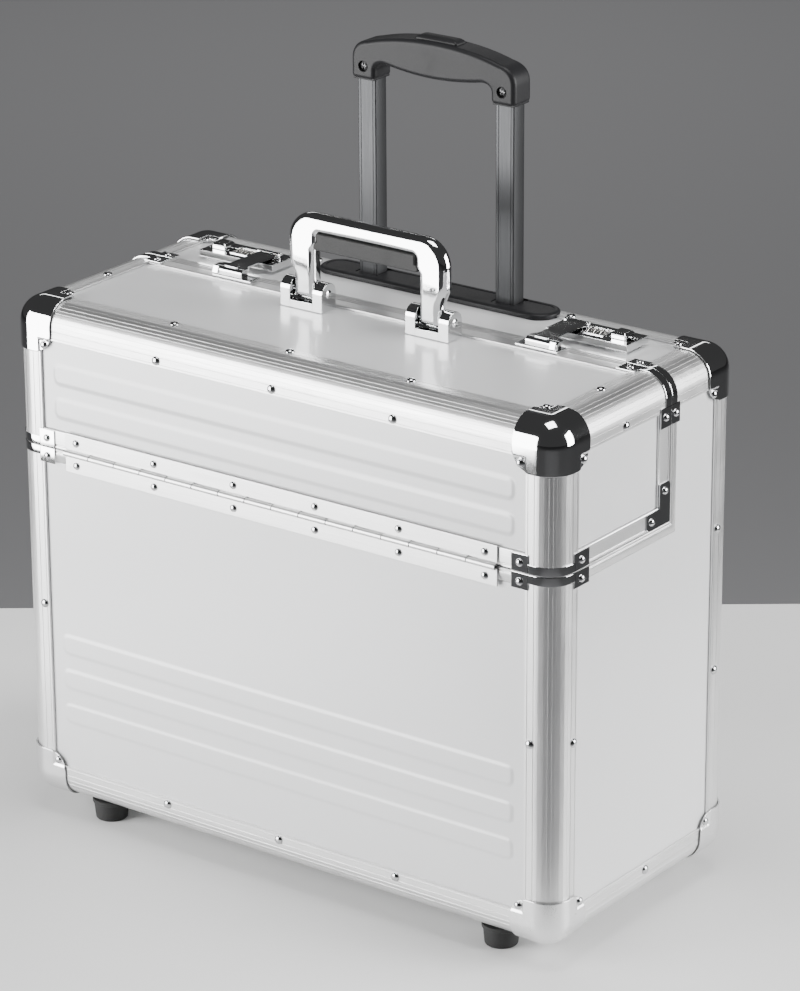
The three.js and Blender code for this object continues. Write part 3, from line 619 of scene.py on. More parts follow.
class Bench:
    """Where pieces get their finish and their body, and are reported."""

    def __init__(self, nodes: dict[str, bpy.types.Object]) -> None:
        """Starts with the frame's nodes and the shared effects."""
        self.nodes = nodes
        self.shelf = EffectShelf()
        self.made: dict[str, bpy.types.Material] = {}

    def material(self, finish: Finish) -> bpy.types.Material:
        """The material of a finish, made the first time it is asked for."""
        if finish.name not in self.made:
            self.made[finish.name] = finish.material(self.shelf)
        return self.made[finish.name]

    def fit(self, obj: bpy.types.Object, finish: Finish, body: str, *replaced: str) -> bpy.types.Object:
        """Gives a piece its finish and body.

        Args:
            obj: The finished piece.
            finish: Its finish.
            body: The body it rides on.
            replaced: The frame's nodes that it stands for.

        Returns:
            The piece.
        """
        obj.data.materials.clear()
        obj.data.materials.append(self.material(finish))
        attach(obj, body)
        if replaced:
            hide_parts(*replaced)
        LOG.info("%s: %d faces on %s", obj.name, len(obj.data.polygons), body)
        return obj

    def make(self, form: Form, name: str, finish: Finish, body: str, *replaced: str,
             rounding: Rounding | None = None) -> bpy.types.Object:
        """Builds a form with broken edges and fits it."""
        obj = form.build(name)
        break_edges(obj, rounding)
        return self.fit(obj, finish, body, *replaced)

    def dress(self, finish: Finish, *names: str) -> None:
        """Gives the frame's own nodes a finish."""
        for name in names:
            node = self.nodes[name]
            for held in node.material_slots:
                held.material = self.material(finish)
            LOG.info("%s keeps its frame shape", name)


# Repeats made with geometry nodes ----------------------------------------------------------------


class Repeater:
    """Runs a geometry node tree over a piece and leaves a plain mesh."""

    def __init__(self, name: str, inputs: dict[str, tuple[str, object]]) -> None:
        """Starts a tree that takes a mesh, named sizes and a material."""
        sockets = {"Geometry": ("NodeSocketGeometry", None), **inputs,
                   "Material": ("NodeSocketMaterial", None)}
        self.tree = new_group(name, sockets, {"Geometry": "NodeSocketGeometry"}, "GeometryNodeTree")
        self.wiring = Wiring(self.tree)
        self.given = self.wiring.node("NodeGroupInput").outputs

    def end(self, geometry: bpy.types.NodeSocket) -> None:
        """Ends the tree with realized, smooth and finished geometry."""
        real = self.wiring.node("GeometryNodeRealizeInstances", {"Geometry": geometry})
        smooth = self.wiring.node("GeometryNodeSetShadeSmooth", {"Geometry": real.outputs[0]})
        dressed = self.wiring.node(
            "GeometryNodeSetMaterial", {"Geometry": smooth.outputs[0], "Material": self.given["Material"]}
        )
        self.wiring.node("NodeGroupOutput", {0: dressed.outputs[0]})

    def run(self, obj: bpy.types.Object, values: dict[str, object]) -> bpy.types.Object:
        """Runs the tree on an object with its named sizes and settles the result."""
        modifier = obj.modifiers.new(self.tree.name, "NODES")
        modifier.node_group = self.tree
        for item in self.tree.interface.items_tree:
            if item.in_out == "INPUT" and item.name in values:
                modifier[item.identifier] = values[item.name]
        settle_mesh(obj)
        return obj


def rivet_repeater() -> Repeater:
    """A tree that sets a domed head on every point, along its "facing" and as wide as its "head"."""
    made = Repeater("rivet_heads", {"Dome": ("NodeSocketFloat", 0.5)})
    wiring = made.wiring
    ball = wiring.node("GeometryNodeMeshUVSphere", {"Segments": 20, "Rings": 12, "Radius": 1.0})
    shape = wiring.node("ShaderNodeCombineXYZ", {0: 1.0, 1: 1.0, 2: made.given["Dome"]})
    dome = wiring.node("GeometryNodeTransform", {"Geometry": ball.outputs["Mesh"], "Scale": shape.outputs[0]})
    facing = wiring.node("GeometryNodeInputNamedAttribute", {"Name": "facing"}, data_type="FLOAT_VECTOR")
    head = wiring.node("GeometryNodeInputNamedAttribute", {"Name": "head"}, data_type="FLOAT")
    turn = wiring.node("FunctionNodeAlignRotationToVector", {"Vector": facing.outputs[0]}, axis="Z")
    placed = wiring.node(
        "GeometryNodeInstanceOnPoints",
        {"Points": made.given["Geometry"], "Instance": dome.outputs[0], "Rotation": turn.outputs[0],
         "Scale": head.outputs[0]},
    )
    made.end(placed.outputs[0])
    return made


def extruding_repeater() -> Repeater:
    """A tree that runs each flat section out along its own "run", closed at both ends."""
    made = Repeater("extruded_sections", {})
    wiring, sections = made.wiring, made.given["Geometry"]
    run = wiring.node("GeometryNodeInputNamedAttribute", {"Name": "run"}, data_type="FLOAT_VECTOR")
    drawn = wiring.node(
        "GeometryNodeExtrudeMesh",
        {"Mesh": sections, "Offset": run.outputs[0], "Offset Scale": 1.0, "Individual": True},
        mode="FACES")
    backs = wiring.node("GeometryNodeFlipFaces", {"Mesh": sections})
    both = wiring.node("GeometryNodeJoinGeometry")
    for part in (drawn, backs):
        wiring.tree.links.new(part.outputs[0], both.inputs[0])
    merged = wiring.node("GeometryNodeMergeByDistance", {"Geometry": both.outputs[0], "Distance": 1e-6})
    made.end(merged.outputs[0])
    return made


def knuckle_repeater() -> Repeater:
    """A tree that adds a row of barrels along X, each on a web, to a hinge leaf."""
    made = Repeater(
        "hinge_knuckles",
        {
            "Start": ("NodeSocketVector", None), "Pitch": ("NodeSocketFloat", 0.01),
            "Count": ("NodeSocketInt", 1), "Radius": ("NodeSocketFloat", 0.001),
            "Length": ("NodeSocketFloat", 0.01), "Web": ("NodeSocketVector", None),
            "Web Place": ("NodeSocketVector", None)},
    )
    wiring, given = made.wiring, made.given
    step = wiring.node("ShaderNodeCombineXYZ", {0: given["Pitch"]})
    row = wiring.node(
        "GeometryNodeMeshLine",
        {"Count": given["Count"], "Start Location": given["Start"], "Offset": step.outputs[0]},
        mode="OFFSET")
    barrel = wiring.node(
        "GeometryNodeMeshCylinder",
        {"Vertices": 28, "Radius": given["Radius"], "Depth": given["Length"]},
    )
    lying = wiring.node(
        "GeometryNodeTransform",
        {"Geometry": barrel.outputs["Mesh"], "Rotation": (0.0, math.pi / 2, 0.0)},
    )
    web = wiring.node("GeometryNodeMeshCube", {"Size": given["Web"]})
    beside = wiring.node(
        "GeometryNodeTransform", {"Geometry": web.outputs["Mesh"], "Translation": given["Web Place"]}
    )
    knuckle = wiring.node("GeometryNodeJoinGeometry")
    for part in (lying, beside):
        wiring.tree.links.new(part.outputs[0], knuckle.inputs[0])
    placed = wiring.node(
        "GeometryNodeInstanceOnPoints", {"Points": row.outputs[0], "Instance": knuckle.outputs[0]}
    )
    both = wiring.node("GeometryNodeJoinGeometry")
    for part in (given["Geometry"], placed.outputs[0]):
        wiring.tree.links.new(part, both.inputs[0])
    made.end(both.outputs[0])
    return made


def ring_repeater() -> Repeater:
    """A tree that sets ribs round an axis along X, on top of the piece that it is given."""
    made = Repeater(
        "ring_of_ribs",
        {
            "Centre": ("NodeSocketVector", None), "Radius": ("NodeSocketFloat", 0.01),
            "Count": ("NodeSocketInt", 12), "Rib": ("NodeSocketVector", None)},
    )
    wiring, given = made.wiring, made.given
    circle = wiring.node("GeometryNodeMeshCircle", {"Vertices": given["Count"], "Radius": given["Radius"]})
    upright = wiring.node(
        "GeometryNodeTransform",
        {"Geometry": circle.outputs[0], "Rotation": (0.0, math.pi / 2, 0.0)},
    )
    outward = wiring.node("GeometryNodeInputPosition")
    turn = wiring.node("FunctionNodeAlignRotationToVector", {"Vector": outward.outputs[0]}, axis="Z",
                       pivot_axis="X")
    rib = wiring.node("GeometryNodeMeshCube", {"Size": given["Rib"]})
    placed = wiring.node(
        "GeometryNodeInstanceOnPoints",
        {"Points": upright.outputs[0], "Instance": rib.outputs["Mesh"], "Rotation": turn.outputs[0]},
    )
    moved = wiring.node("GeometryNodeTransform",
                        {"Geometry": placed.outputs[0], "Translation": given["Centre"]})
    both = wiring.node("GeometryNodeJoinGeometry")
    for part in (given["Geometry"], moved.outputs[0]):
        wiring.tree.links.new(part, both.inputs[0])
    made.end(both.outputs[0])
    return made


# The shell ---------------------------------------------------------------------------------------


@dataclass
class EdgeRail:
    """Quarter-round edge rails with drawn grooves, run along the edges of body and lid."""

    shell: Shell
    bench: Bench
    extrude: Repeater
    reach: float = 25 * MM
    wall: float = 1.6 * MM
    core: float = 11.5 * MM
    groove: float = 0.30 * MM
    fine_groove: float = 0.07 * MM
    corner_clear: float = 16 * MM
    block: Point2 = (6.5 * MM, 17 * MM)
    housing_half: float = 13.3 * MM

    def groove_points(self, middle: float) -> list[Point2]:
        """A groove across the flat flange, at a distance from the shell's edge."""
        half = self.groove * 0.8
        return [(middle + half, 0.0), (middle, self.groove), (middle - half, 0.0)]

    def section(self) -> list[Point2]:
        """The rail's section as depths under its two faces, which is the same either way round."""
        start = [(self.reach, self.wall), (self.reach, self.groove), (self.reach - self.groove, 0.0)]
        radius = self.shell.rounding
        for middle in (self.reach - 2 * MM, radius + 1.0 * MM):
            start += self.groove_points(middle)
        half_width = math.degrees(self.fine_groove * 1.4 / radius)
        grooves = (9.0, 20.0, 31.0, 41.0)
        angles: list[tuple[float, float]] = [(0.0, 0.0)]
        for middle in grooves:
            angles += [(middle - half_width, 0.0), (middle, self.fine_groove), (middle + half_width, 0.0)]
        angles += [(a, 0.0) for a in (4.5, 14.5, 25.5, 36.0, 45.0)]
        for angle, depth in sorted(angles):
            turn, out = math.radians(angle), radius - depth
            start.append((radius - out * math.sin(turn), radius - out * math.cos(turn)))
        other = [(v, u) for u, v in reversed(start[:-1])]
        inner = [(self.wall, self.core), (self.core, self.core), (self.core, self.wall)]
        return start + other + inner

    def runs(self) -> dict[str, list[tuple[Axis, tuple[int, int], float, float]]]:
        """The rails of each body, as their axis, the way their faces look, and their two ends."""
        low, high = self.shell.low, self.shell.high
        left, right = low.x + self.corner_clear, high.x - self.corner_clear
        front, back = low.y + self.corner_clear, high.y - self.corner_clear
        floor, top = low.z + self.corner_clear, high.z - self.corner_clear
        wheel = (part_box("wheel_right")[0].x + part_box("wheel_right")[1].x) / 2
        inner, outer = wheel - self.housing_half, wheel + self.housing_half
        shell = self.shell
        case = [(Axis.X, (-1, -1), left, right), (Axis.X, (1, 1), left, right)]
        case += [(Axis.X, (1, -1), a, b) for a, b in ((left, -outer), (-inner, inner), (outer, right))]
        lid = [(Axis.X, (-1, 1), left, right)]
        for side in SIDES.values():
            case.append((Axis.Y, (side, -1), front, back))
            case.append((Axis.Z, (side, -1), floor, shell.body_top))
            case.append((Axis.Z, (side, 1), floor, top))
            case.append((Axis.Y, (side, 1), shell.body_front, back))
            lid.append((Axis.Y, (side, 1), front, shell.lid_back))
            lid.append((Axis.Z, (side, -1), shell.lid_floor, top))
        return {"case": case, "lid": lid}

    def corner_blocks(self, body: str) -> Form:
        """The blocks that join the rails inside each corner."""
        form = Form()
        near, far = self.block
        for side in SIDES.values():
            for fore, up in ((-1, -1), (1, -1), (1, 1)) if body == "case" else ((-1, 1),):
                ends = [
                    self.shell.inward(Axis.Z, (side, fore), self.shell.face(Axis.Z, up) - up * d, d, d)
                    for d in (near, far)
                ]
                form.box([min(a, b) for a, b in zip(*ends)], [max(a, b) for a, b in zip(*ends)])
        return form

    def build(self) -> None:
        """Makes the rails of both bodies."""
        section = self.section()
        stands_for = {"case": ("lower_edge_frame", "bottom_rear_rail", "rear_edge_frame"),
                      "lid": ("lid_edge_frame",)}
        for body, runs in self.runs().items():
            bm = bmesh.new()
            run_layer = bm.faces.layers.float_vector.new("run")
            for axis, signs, start, stop in runs:
                ring = [bm.verts.new(self.shell.inward(axis, signs, start, u, v)) for u, v in section]
                face = bm.faces.new(ring)
                face.normal_update()
                run = across(axis, stop - start, 0.0, 0.0)
                if face.normal.dot(run) < 0:
                    face.normal_flip()
                face[run_layer] = run
            mesh = bpy.data.meshes.new(f"{body}_rails")
            bm.to_mesh(mesh)
            bm.free()
            obj = bpy.data.objects.new(f"{body}_rails", mesh)
            bpy.context.scene.collection.objects.link(obj)
            self.extrude.run(obj, {"Material": self.bench.material(RAIL_METAL)})
            self.mark_grain(obj)
            shade(obj, 22.0)
            self.bench.fit(obj, RAIL_METAL, body, *stands_for[body])
            self.bench.make(self.corner_blocks(body), f"{body}_corner_blocks", RAIL_METAL, body)

    @staticmethod
    def mark_grain(obj: bpy.types.Object) -> None:
        """Keeps the way each rail runs as the direction of its grain."""
        mesh = obj.data
        runs = mesh.attributes["run"].data
        grain = mesh.attributes.new("grain", "FLOAT_VECTOR", "FACE")
        for at, item in enumerate(runs):
            run = Vector(item.vector)
            grain.data[at].vector = run.normalized() if run.length > 0 else (0, 0, 0)
        mesh.attributes.remove(mesh.attributes["run"])


def grained(obj: bpy.types.Object, axis: Axis) -> bpy.types.Object:
    """Gives a whole piece a grain along one axis."""
    grain = obj.data.attributes.new("grain", "FLOAT_VECTOR", "POINT")
    direction = tuple(1.0 if a is axis else 0.0 for a in Axis)
    grain.data.foreach_set("vector", direction * len(obj.data.vertices))
    return obj


@dataclass
class PartingRims:
    """The two aluminium rims that meet at the parting line, mitred at the lid's rear corners."""

    shell: Shell
    bench: Bench
    reach: float = 25 * MM
    depth: float = 8 * MM
    lid_width: float = 13 * MM
    body_width: float = 10 * MM

    def section(self, width: float, slope: float) -> list[Point2]:
        """A rim's section as (distance from the parting line, depth).

        Args:
            width: The rim's width.
            slope: Width of the stretch that falls away to the panel.

        Returns:
            The section's outline.
        """
        fall = 1.7 * MM if slope > 1 * MM else 0.5 * MM
        bead = [(0.0, 0.4), (0.4, 0.0), (1.7, 0.0), (2.0, 0.5), (2.6, 0.5), (2.9, 0.0)]
        outer = [(u * MM, v * MM) for u, v in bead]
        return [*outer, (width - slope, 0.0), (width, fall), (width, self.depth), (0.0, self.depth)]

    def rim(self, edge_z: float, edge_y: float, way: int, section: list[Point2]) -> Form:
        """One rim: a bar over the front, a mitred angle on each side and a bar over the top.

        Args:
            edge_z: Height of its edge at the parting line.
            edge_y: Place of its edge across the top.
            way: 1 where the rim lies over the parting line, -1 where it lies under it.
            section: Its section.

        Returns:
            The form.
        """
        shell, form = self.shell, Form()
        ends = (shell.low.x + self.reach, shell.high.x - self.reach)
        form.skin([[Vector((x, shell.low.y + v, edge_z + way * u)) for u, v in section] for x in ends])
        form.skin([[Vector((x, edge_y - way * u, shell.high.z - v)) for u, v in section] for x in ends])
        stations = (
            (shell.low.y + self.reach, edge_z, 0, way), (edge_y, edge_z, -way, way),
            (edge_y, shell.high.z - self.reach, -way, 0))
        for side in SIDES.values():
            face = shell.face(Axis.X, side)
            form.skin(
                [[Vector((face - side * v, y + my * u, z + mz * u)) for u, v in section]
                 for y, z, my, mz in stations]
            )
        return form

    def build(self) -> None:
        """Makes both rims."""
        shell = self.shell
        rounding = Rounding(0.25 * MM, 2, 50.0)
        lid = self.rim(shell.lid_floor, shell.lid_back, 1, self.section(self.lid_width, 0.7 * MM))
        body = self.rim(shell.body_top, shell.body_front, -1, self.section(self.body_width, 4.6 * MM))
        for form, name, rides in ((lid, "lid_rim_bars", "lid"), (body, "body_rim_bars", "case")):
            obj = form.build(name)
            break_edges(obj, rounding)
            grained(obj, Axis.X)
            self.bench.fit(obj, RAIL_METAL, rides, "lid_rim" if rides == "lid" else "body_rim")


@dataclass
class PressedPanel:
    """A front sheet with long beads pressed outwards."""

    bench: Bench
    half_length: float = 196 * MM
    rise: float = 0.5 * MM
    corner: float = 6 * MM
    blend: float = 3.2 * MM

    def lift(self, x: float, z: float, beads: Sequence[Point2]) -> float:
        """How far the sheet stands out at a place.

        Args:
            x: Place across the sheet.
            z: Height.
            beads: The lower and upper edge of each bead.

        Returns:
            The rise.
        """
        best = 0.0
        for low, high in beads:
            dx = abs(x) - self.half_length + self.corner
            dz = abs(z - (low + high) / 2) - (high - low) / 2 + self.corner
            outside = math.hypot(max(dx, 0.0), max(dz, 0.0)) + min(max(dx, dz), 0.0) - self.corner
            best = max(best, smooth_step(0.0, self.blend, -outside))
        return best * self.rise

    def panel(self, node: str, body: str, beads: Sequence[Point2]) -> None:
        """Makes the sheet that stands for a flat front panel."""
        low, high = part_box(node)
        ends = spread(self.half_length - 3 * self.corner, self.half_length + 1 * MM, 22)
        xs = [low.x, *[-x for x in reversed(ends)], *spread(-ends[0], ends[0], 4)[1:-1], *ends, high.x]
        zs = {low.z, high.z}
        for bottom, top in beads:
            zs.update(spread(bottom - 1 * MM, top + 1 * MM, 22))
        heights = sorted(zs)
        form = Form()
        for y, sign in ((low.y, 1), (high.y, 1)):
            form.grid([[Vector((x, y - sign * self.lift(x, z, beads), z)) for x in xs] for z in heights])
        for row in (low.z, high.z):
            form.grid([[Vector((x, y, row)) for x in xs] for y in (low.y, high.y)])
        for x in (low.x, high.x):
            form.grid([[Vector((x, y, z)) for z in heights] for y in (low.y, high.y)])
        obj = form.build(f"pressed_{node}")
        shade(obj)
        self.bench.fit(obj, PANEL_SHEET, body, node)

    def build(self) -> None:
        """Makes the two pressed sheets and dresses the flat ones."""
        width, pitch = 17 * MM, 26.6 * MM
        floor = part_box("front_panel")[0].z + 48 * MM
        self.panel("front_panel", "case", [(floor + i * pitch, floor + i * pitch + width) for i in range(3)])
        lid_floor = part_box("lid_front_panel")[0].z + 7.8 * MM
        self.panel(
            "lid_front_panel", "lid",
            [(lid_floor + i * 24.8 * MM, lid_floor + i * 24.8 * MM + width) for i in range(2)]
        )
        flat = ["back_panel", "bottom_panel", "left_side_panel", "right_side_panel", "deck_panel"]
        self.bench.dress(PANEL_SHEET, *flat, "lid_top_panel", "lid_left_panel", "lid_right_panel")


@dataclass
class CornerCap:
    """A pressed cap over a corner of the shell, domed like the rails, with a pad for each rivet."""

    shell: Shell
    bench: Bench
    reach: float = 35 * MM
    proud: float = 1.6 * MM
    wall: float = 1.0 * MM
    outline_round: float = 15 * MM
    rivet_in: float = 28.8 * MM
    pad_half: float = 4.3 * MM
    pad_depth: float = 0.75 * MM
    cells: int = 44

    def outline_share(self, x: float, y: float) -> float:
        """How far towards the square's edge the rounded outline lies, in the direction of (x, y)."""
        size = self.reach + self.proud
        longest = max(x, y)
        if longest <= 0:
            return 1.0
        dx, dy = x / longest, y / longest
        centre = size - self.outline_round
        a, b = dx * dx + dy * dy, -2 * centre * (dx + dy)
        c = 2 * centre * centre - self.outline_round**2
        inside = b * b - 4 * a * c
        if inside < 0:
            return 1.0
        far = (-b + math.sqrt(inside)) / (2 * a)
        return far / size if far * dx > centre and far * dy > centre else 1.0

    def surface(self, face: int, x: float, y: float) -> Triple:
        """A point of the cap as depths under the three shell faces.

        Args:
            face: Which of the three faces the point lies on.
            x: Distance from the cap's edge with the next face.
            y: Distance from its edge with the face after that.

        Returns:
            The three depths.
        """
        share = self.outline_share(x, y)
        fade = smooth_step(0.25, 1.0, max(x, y) / (self.reach + self.proud))
        scale = 1 + (share - 1) * fade
        point = [0.0, 0.0, 0.0]
        point[face] = -self.proud
        first, second = [i for i in range(3) if i != face]
        point[first], point[second] = x * scale - self.proud, y * scale - self.proud
        radius = self.shell.rounding
        near = [max(p, radius) for p in point]
        away = Vector(point) - Vector(near)
        off = max(abs(point[first] - self.rivet_in - 1 * MM), abs(point[second] - self.rivet_in - 1 * MM))
        sunk = self.pad_depth * (1 - smooth_step(self.pad_half, self.pad_half + 1.5 * MM, off))
        return tuple(Vector(near) + away.normalized() * (radius + self.proud - sunk))

    def cap(self, name: str, signs: tuple[int, int, int], finish: Finish, body: str) -> None:
        """Makes the cap at the corner that looks the way of the signs."""
        size = self.reach + self.proud
        steps = spread(0.0, size, self.cells)
        corner = Vector(self.shell.face(axis, sign) for axis, sign in zip(Axis, signs))
        form = Form()
        for face in range(3):
            rows = []
            for x in steps:
                depths = [self.surface(face, x, y) for y in steps]
                rows.append([corner - Vector(s * d for s, d in zip(signs, point)) for point in depths])
            form.grid(rows)
        obj = form.build(f"{name}_cap")
        self.face_outwards(obj, corner - Vector(signs) * self.reach)
        wall = obj.modifiers.new("wall", "SOLIDIFY")
        wall.thickness = self.wall
        wall.offset = -1
        settle_mesh(obj)
        break_edges(obj, Rounding(0.3 * MM, 2, 55.0))
        self.bench.fit(obj, finish, body, name)

    @staticmethod
    def face_outwards(obj: bpy.types.Object, inside: Vector) -> None:
        """Turns an open sheet's faces away from a point inside."""
        bm = bmesh.new()
        bm.from_mesh(obj.data)
        for face in bm.faces:
            if face.normal.dot(face.calc_center_median() - inside) < 0:
                face.normal_flip()
        bm.to_mesh(obj.data)
        bm.free()

    def build(self) -> None:
        """Makes all eight caps."""
        for word, side in SIDES.items():
            self.cap(f"corner_bottom_front_{word}", (side, -1, -1), CAST_METAL, "case")
            self.cap(f"corner_bottom_rear_{word}", (side, 1, -1), CAST_METAL, "case")
            self.cap(f"corner_top_rear_{word}", (side, 1, 1), CHROME, "case")
            self.cap(f"corner_top_front_{word}", (side, -1, 1), CHROME, "lid")


@dataclass
class SplitPlates:
    """The chrome plates and bands that finish the rails where body and lid part."""

    shell: Shell
    bench: Bench
    wall: float = 1.0 * MM
    front_plate: Point2 = (22 * MM, 35.5 * MM)  # in from the shell's side
    side_plate: Point2 = (19 * MM, 36 * MM)  # in from the shell's front
    top_plate: Point2 = (21 * MM, 35.5 * MM)
    plate_height: float = 12.6 * MM
    body_plate_height: float = 9.6 * MM
    band_height: float = 6.4 * MM
    angle_arms: Point2 = (30 * MM, 28 * MM)

    def band(self, ends: Point2) -> list[Point2]:
        """The section of a band round a rail, as depths under its two faces.

        Args:
            ends: How far it reaches along the first and the second face from the shell's edge.

        Returns:
            The section's outline.
        """
        centre, slack = self.shell.rounding, 0.03 * MM
        outline = [(ends[0], -self.wall)]
        outline += arc((centre, centre), centre + self.wall, -90, -180, 14)
        outline += [(-self.wall, ends[1]), (-slack, ends[1])]
        outline += arc((centre, centre), centre + slack, -180, -90, 14)
        return outline + [(ends[0], -slack)]

    def post_plates(self, form: Form, side: int, way: int) -> None:
        """Adds the plates and band round one front post, over the parting line or under it."""
        shell = self.shell
        edge = shell.lid_floor if way > 0 else shell.body_top
        rim = self.plate_height if way > 0 else self.body_plate_height + 1.8 * MM
        span = sorted((edge, edge + way * self.band_height))
        bent = self.band((self.front_plate[0] + 1 * MM, self.side_plate[0] + 1 * MM))
        form.skin([[shell.inward(Axis.Z, (side, -1), z, u, v) for u, v in bent] for z in span])
        z0, z1 = sorted((edge, edge + way * rim))
        xs = shell.beside(side, *self.front_plate)
        form.box((xs[0], shell.low.y - self.wall, z0), (xs[1], shell.low.y, z1))
        near, far = self.side_plate
        xs = shell.beside(side, -self.wall, 0.0)
        form.box((xs[0], shell.low.y + near, z0), (xs[1], shell.low.y + far, z1))

    def top_plates(self, form: Form, side: int, way: int) -> None:
        """Adds the plates and band over one side rail, in front of the parting line or behind it."""
        shell = self.shell
        edge = shell.lid_back if way > 0 else shell.body_front
        rim = self.plate_height if way > 0 else self.body_plate_height
        bent = self.band((self.top_plate[0] + 1 * MM, self.top_plate[0] + 1 * MM))
        span = sorted((edge, edge - way * self.band_height))
        form.skin([[shell.inward(Axis.Y, (side, 1), y, u, v) for u, v in bent] for y in span])
        y0, y1 = sorted((edge, edge - way * rim))
        near, far = self.top_plate
        xs = shell.beside(side, near, far)
        form.box((xs[0], y0, shell.high.z), (xs[1], y1, shell.high.z + self.wall))
        xs = shell.beside(side, -self.wall, 0.0)
        form.box((xs[0], y0, shell.high.z - far), (xs[1], y1, shell.high.z - near))

    def angle(self, form: Form, side: int) -> None:
        """Adds the angle plate over the lid rim's mitre."""
        shell = self.shell
        tall, long = self.angle_arms
        y, z, width = shell.lid_back, shell.lid_floor, self.plate_height
        chamfer = 2.5 * MM
        outline = [(y, z), (y, z + tall - chamfer), (y - chamfer, z + tall), (y - width, z + tall),
                   (y - width, z + width), (y - long, z + width), (y - long, z + chamfer),
                   (y - long + chamfer, z)]
        form.prism(outline, Axis.X, shell.beside(side, -self.wall, 0.0))

    def build(self) -> None:
        """Makes the plates of both bodies."""
        for body, way in (("case", -1), ("lid", 1)):
            form = Form()
            for side in SIDES.values():
                self.post_plates(form, side, way)
                self.top_plates(form, side, way)
                if way > 0:
                    self.angle(form, side)
            self.bench.make(form, f"{body}_split_plates", CHROME, body, rounding=Rounding(0.35 * MM, 2, 50.0))


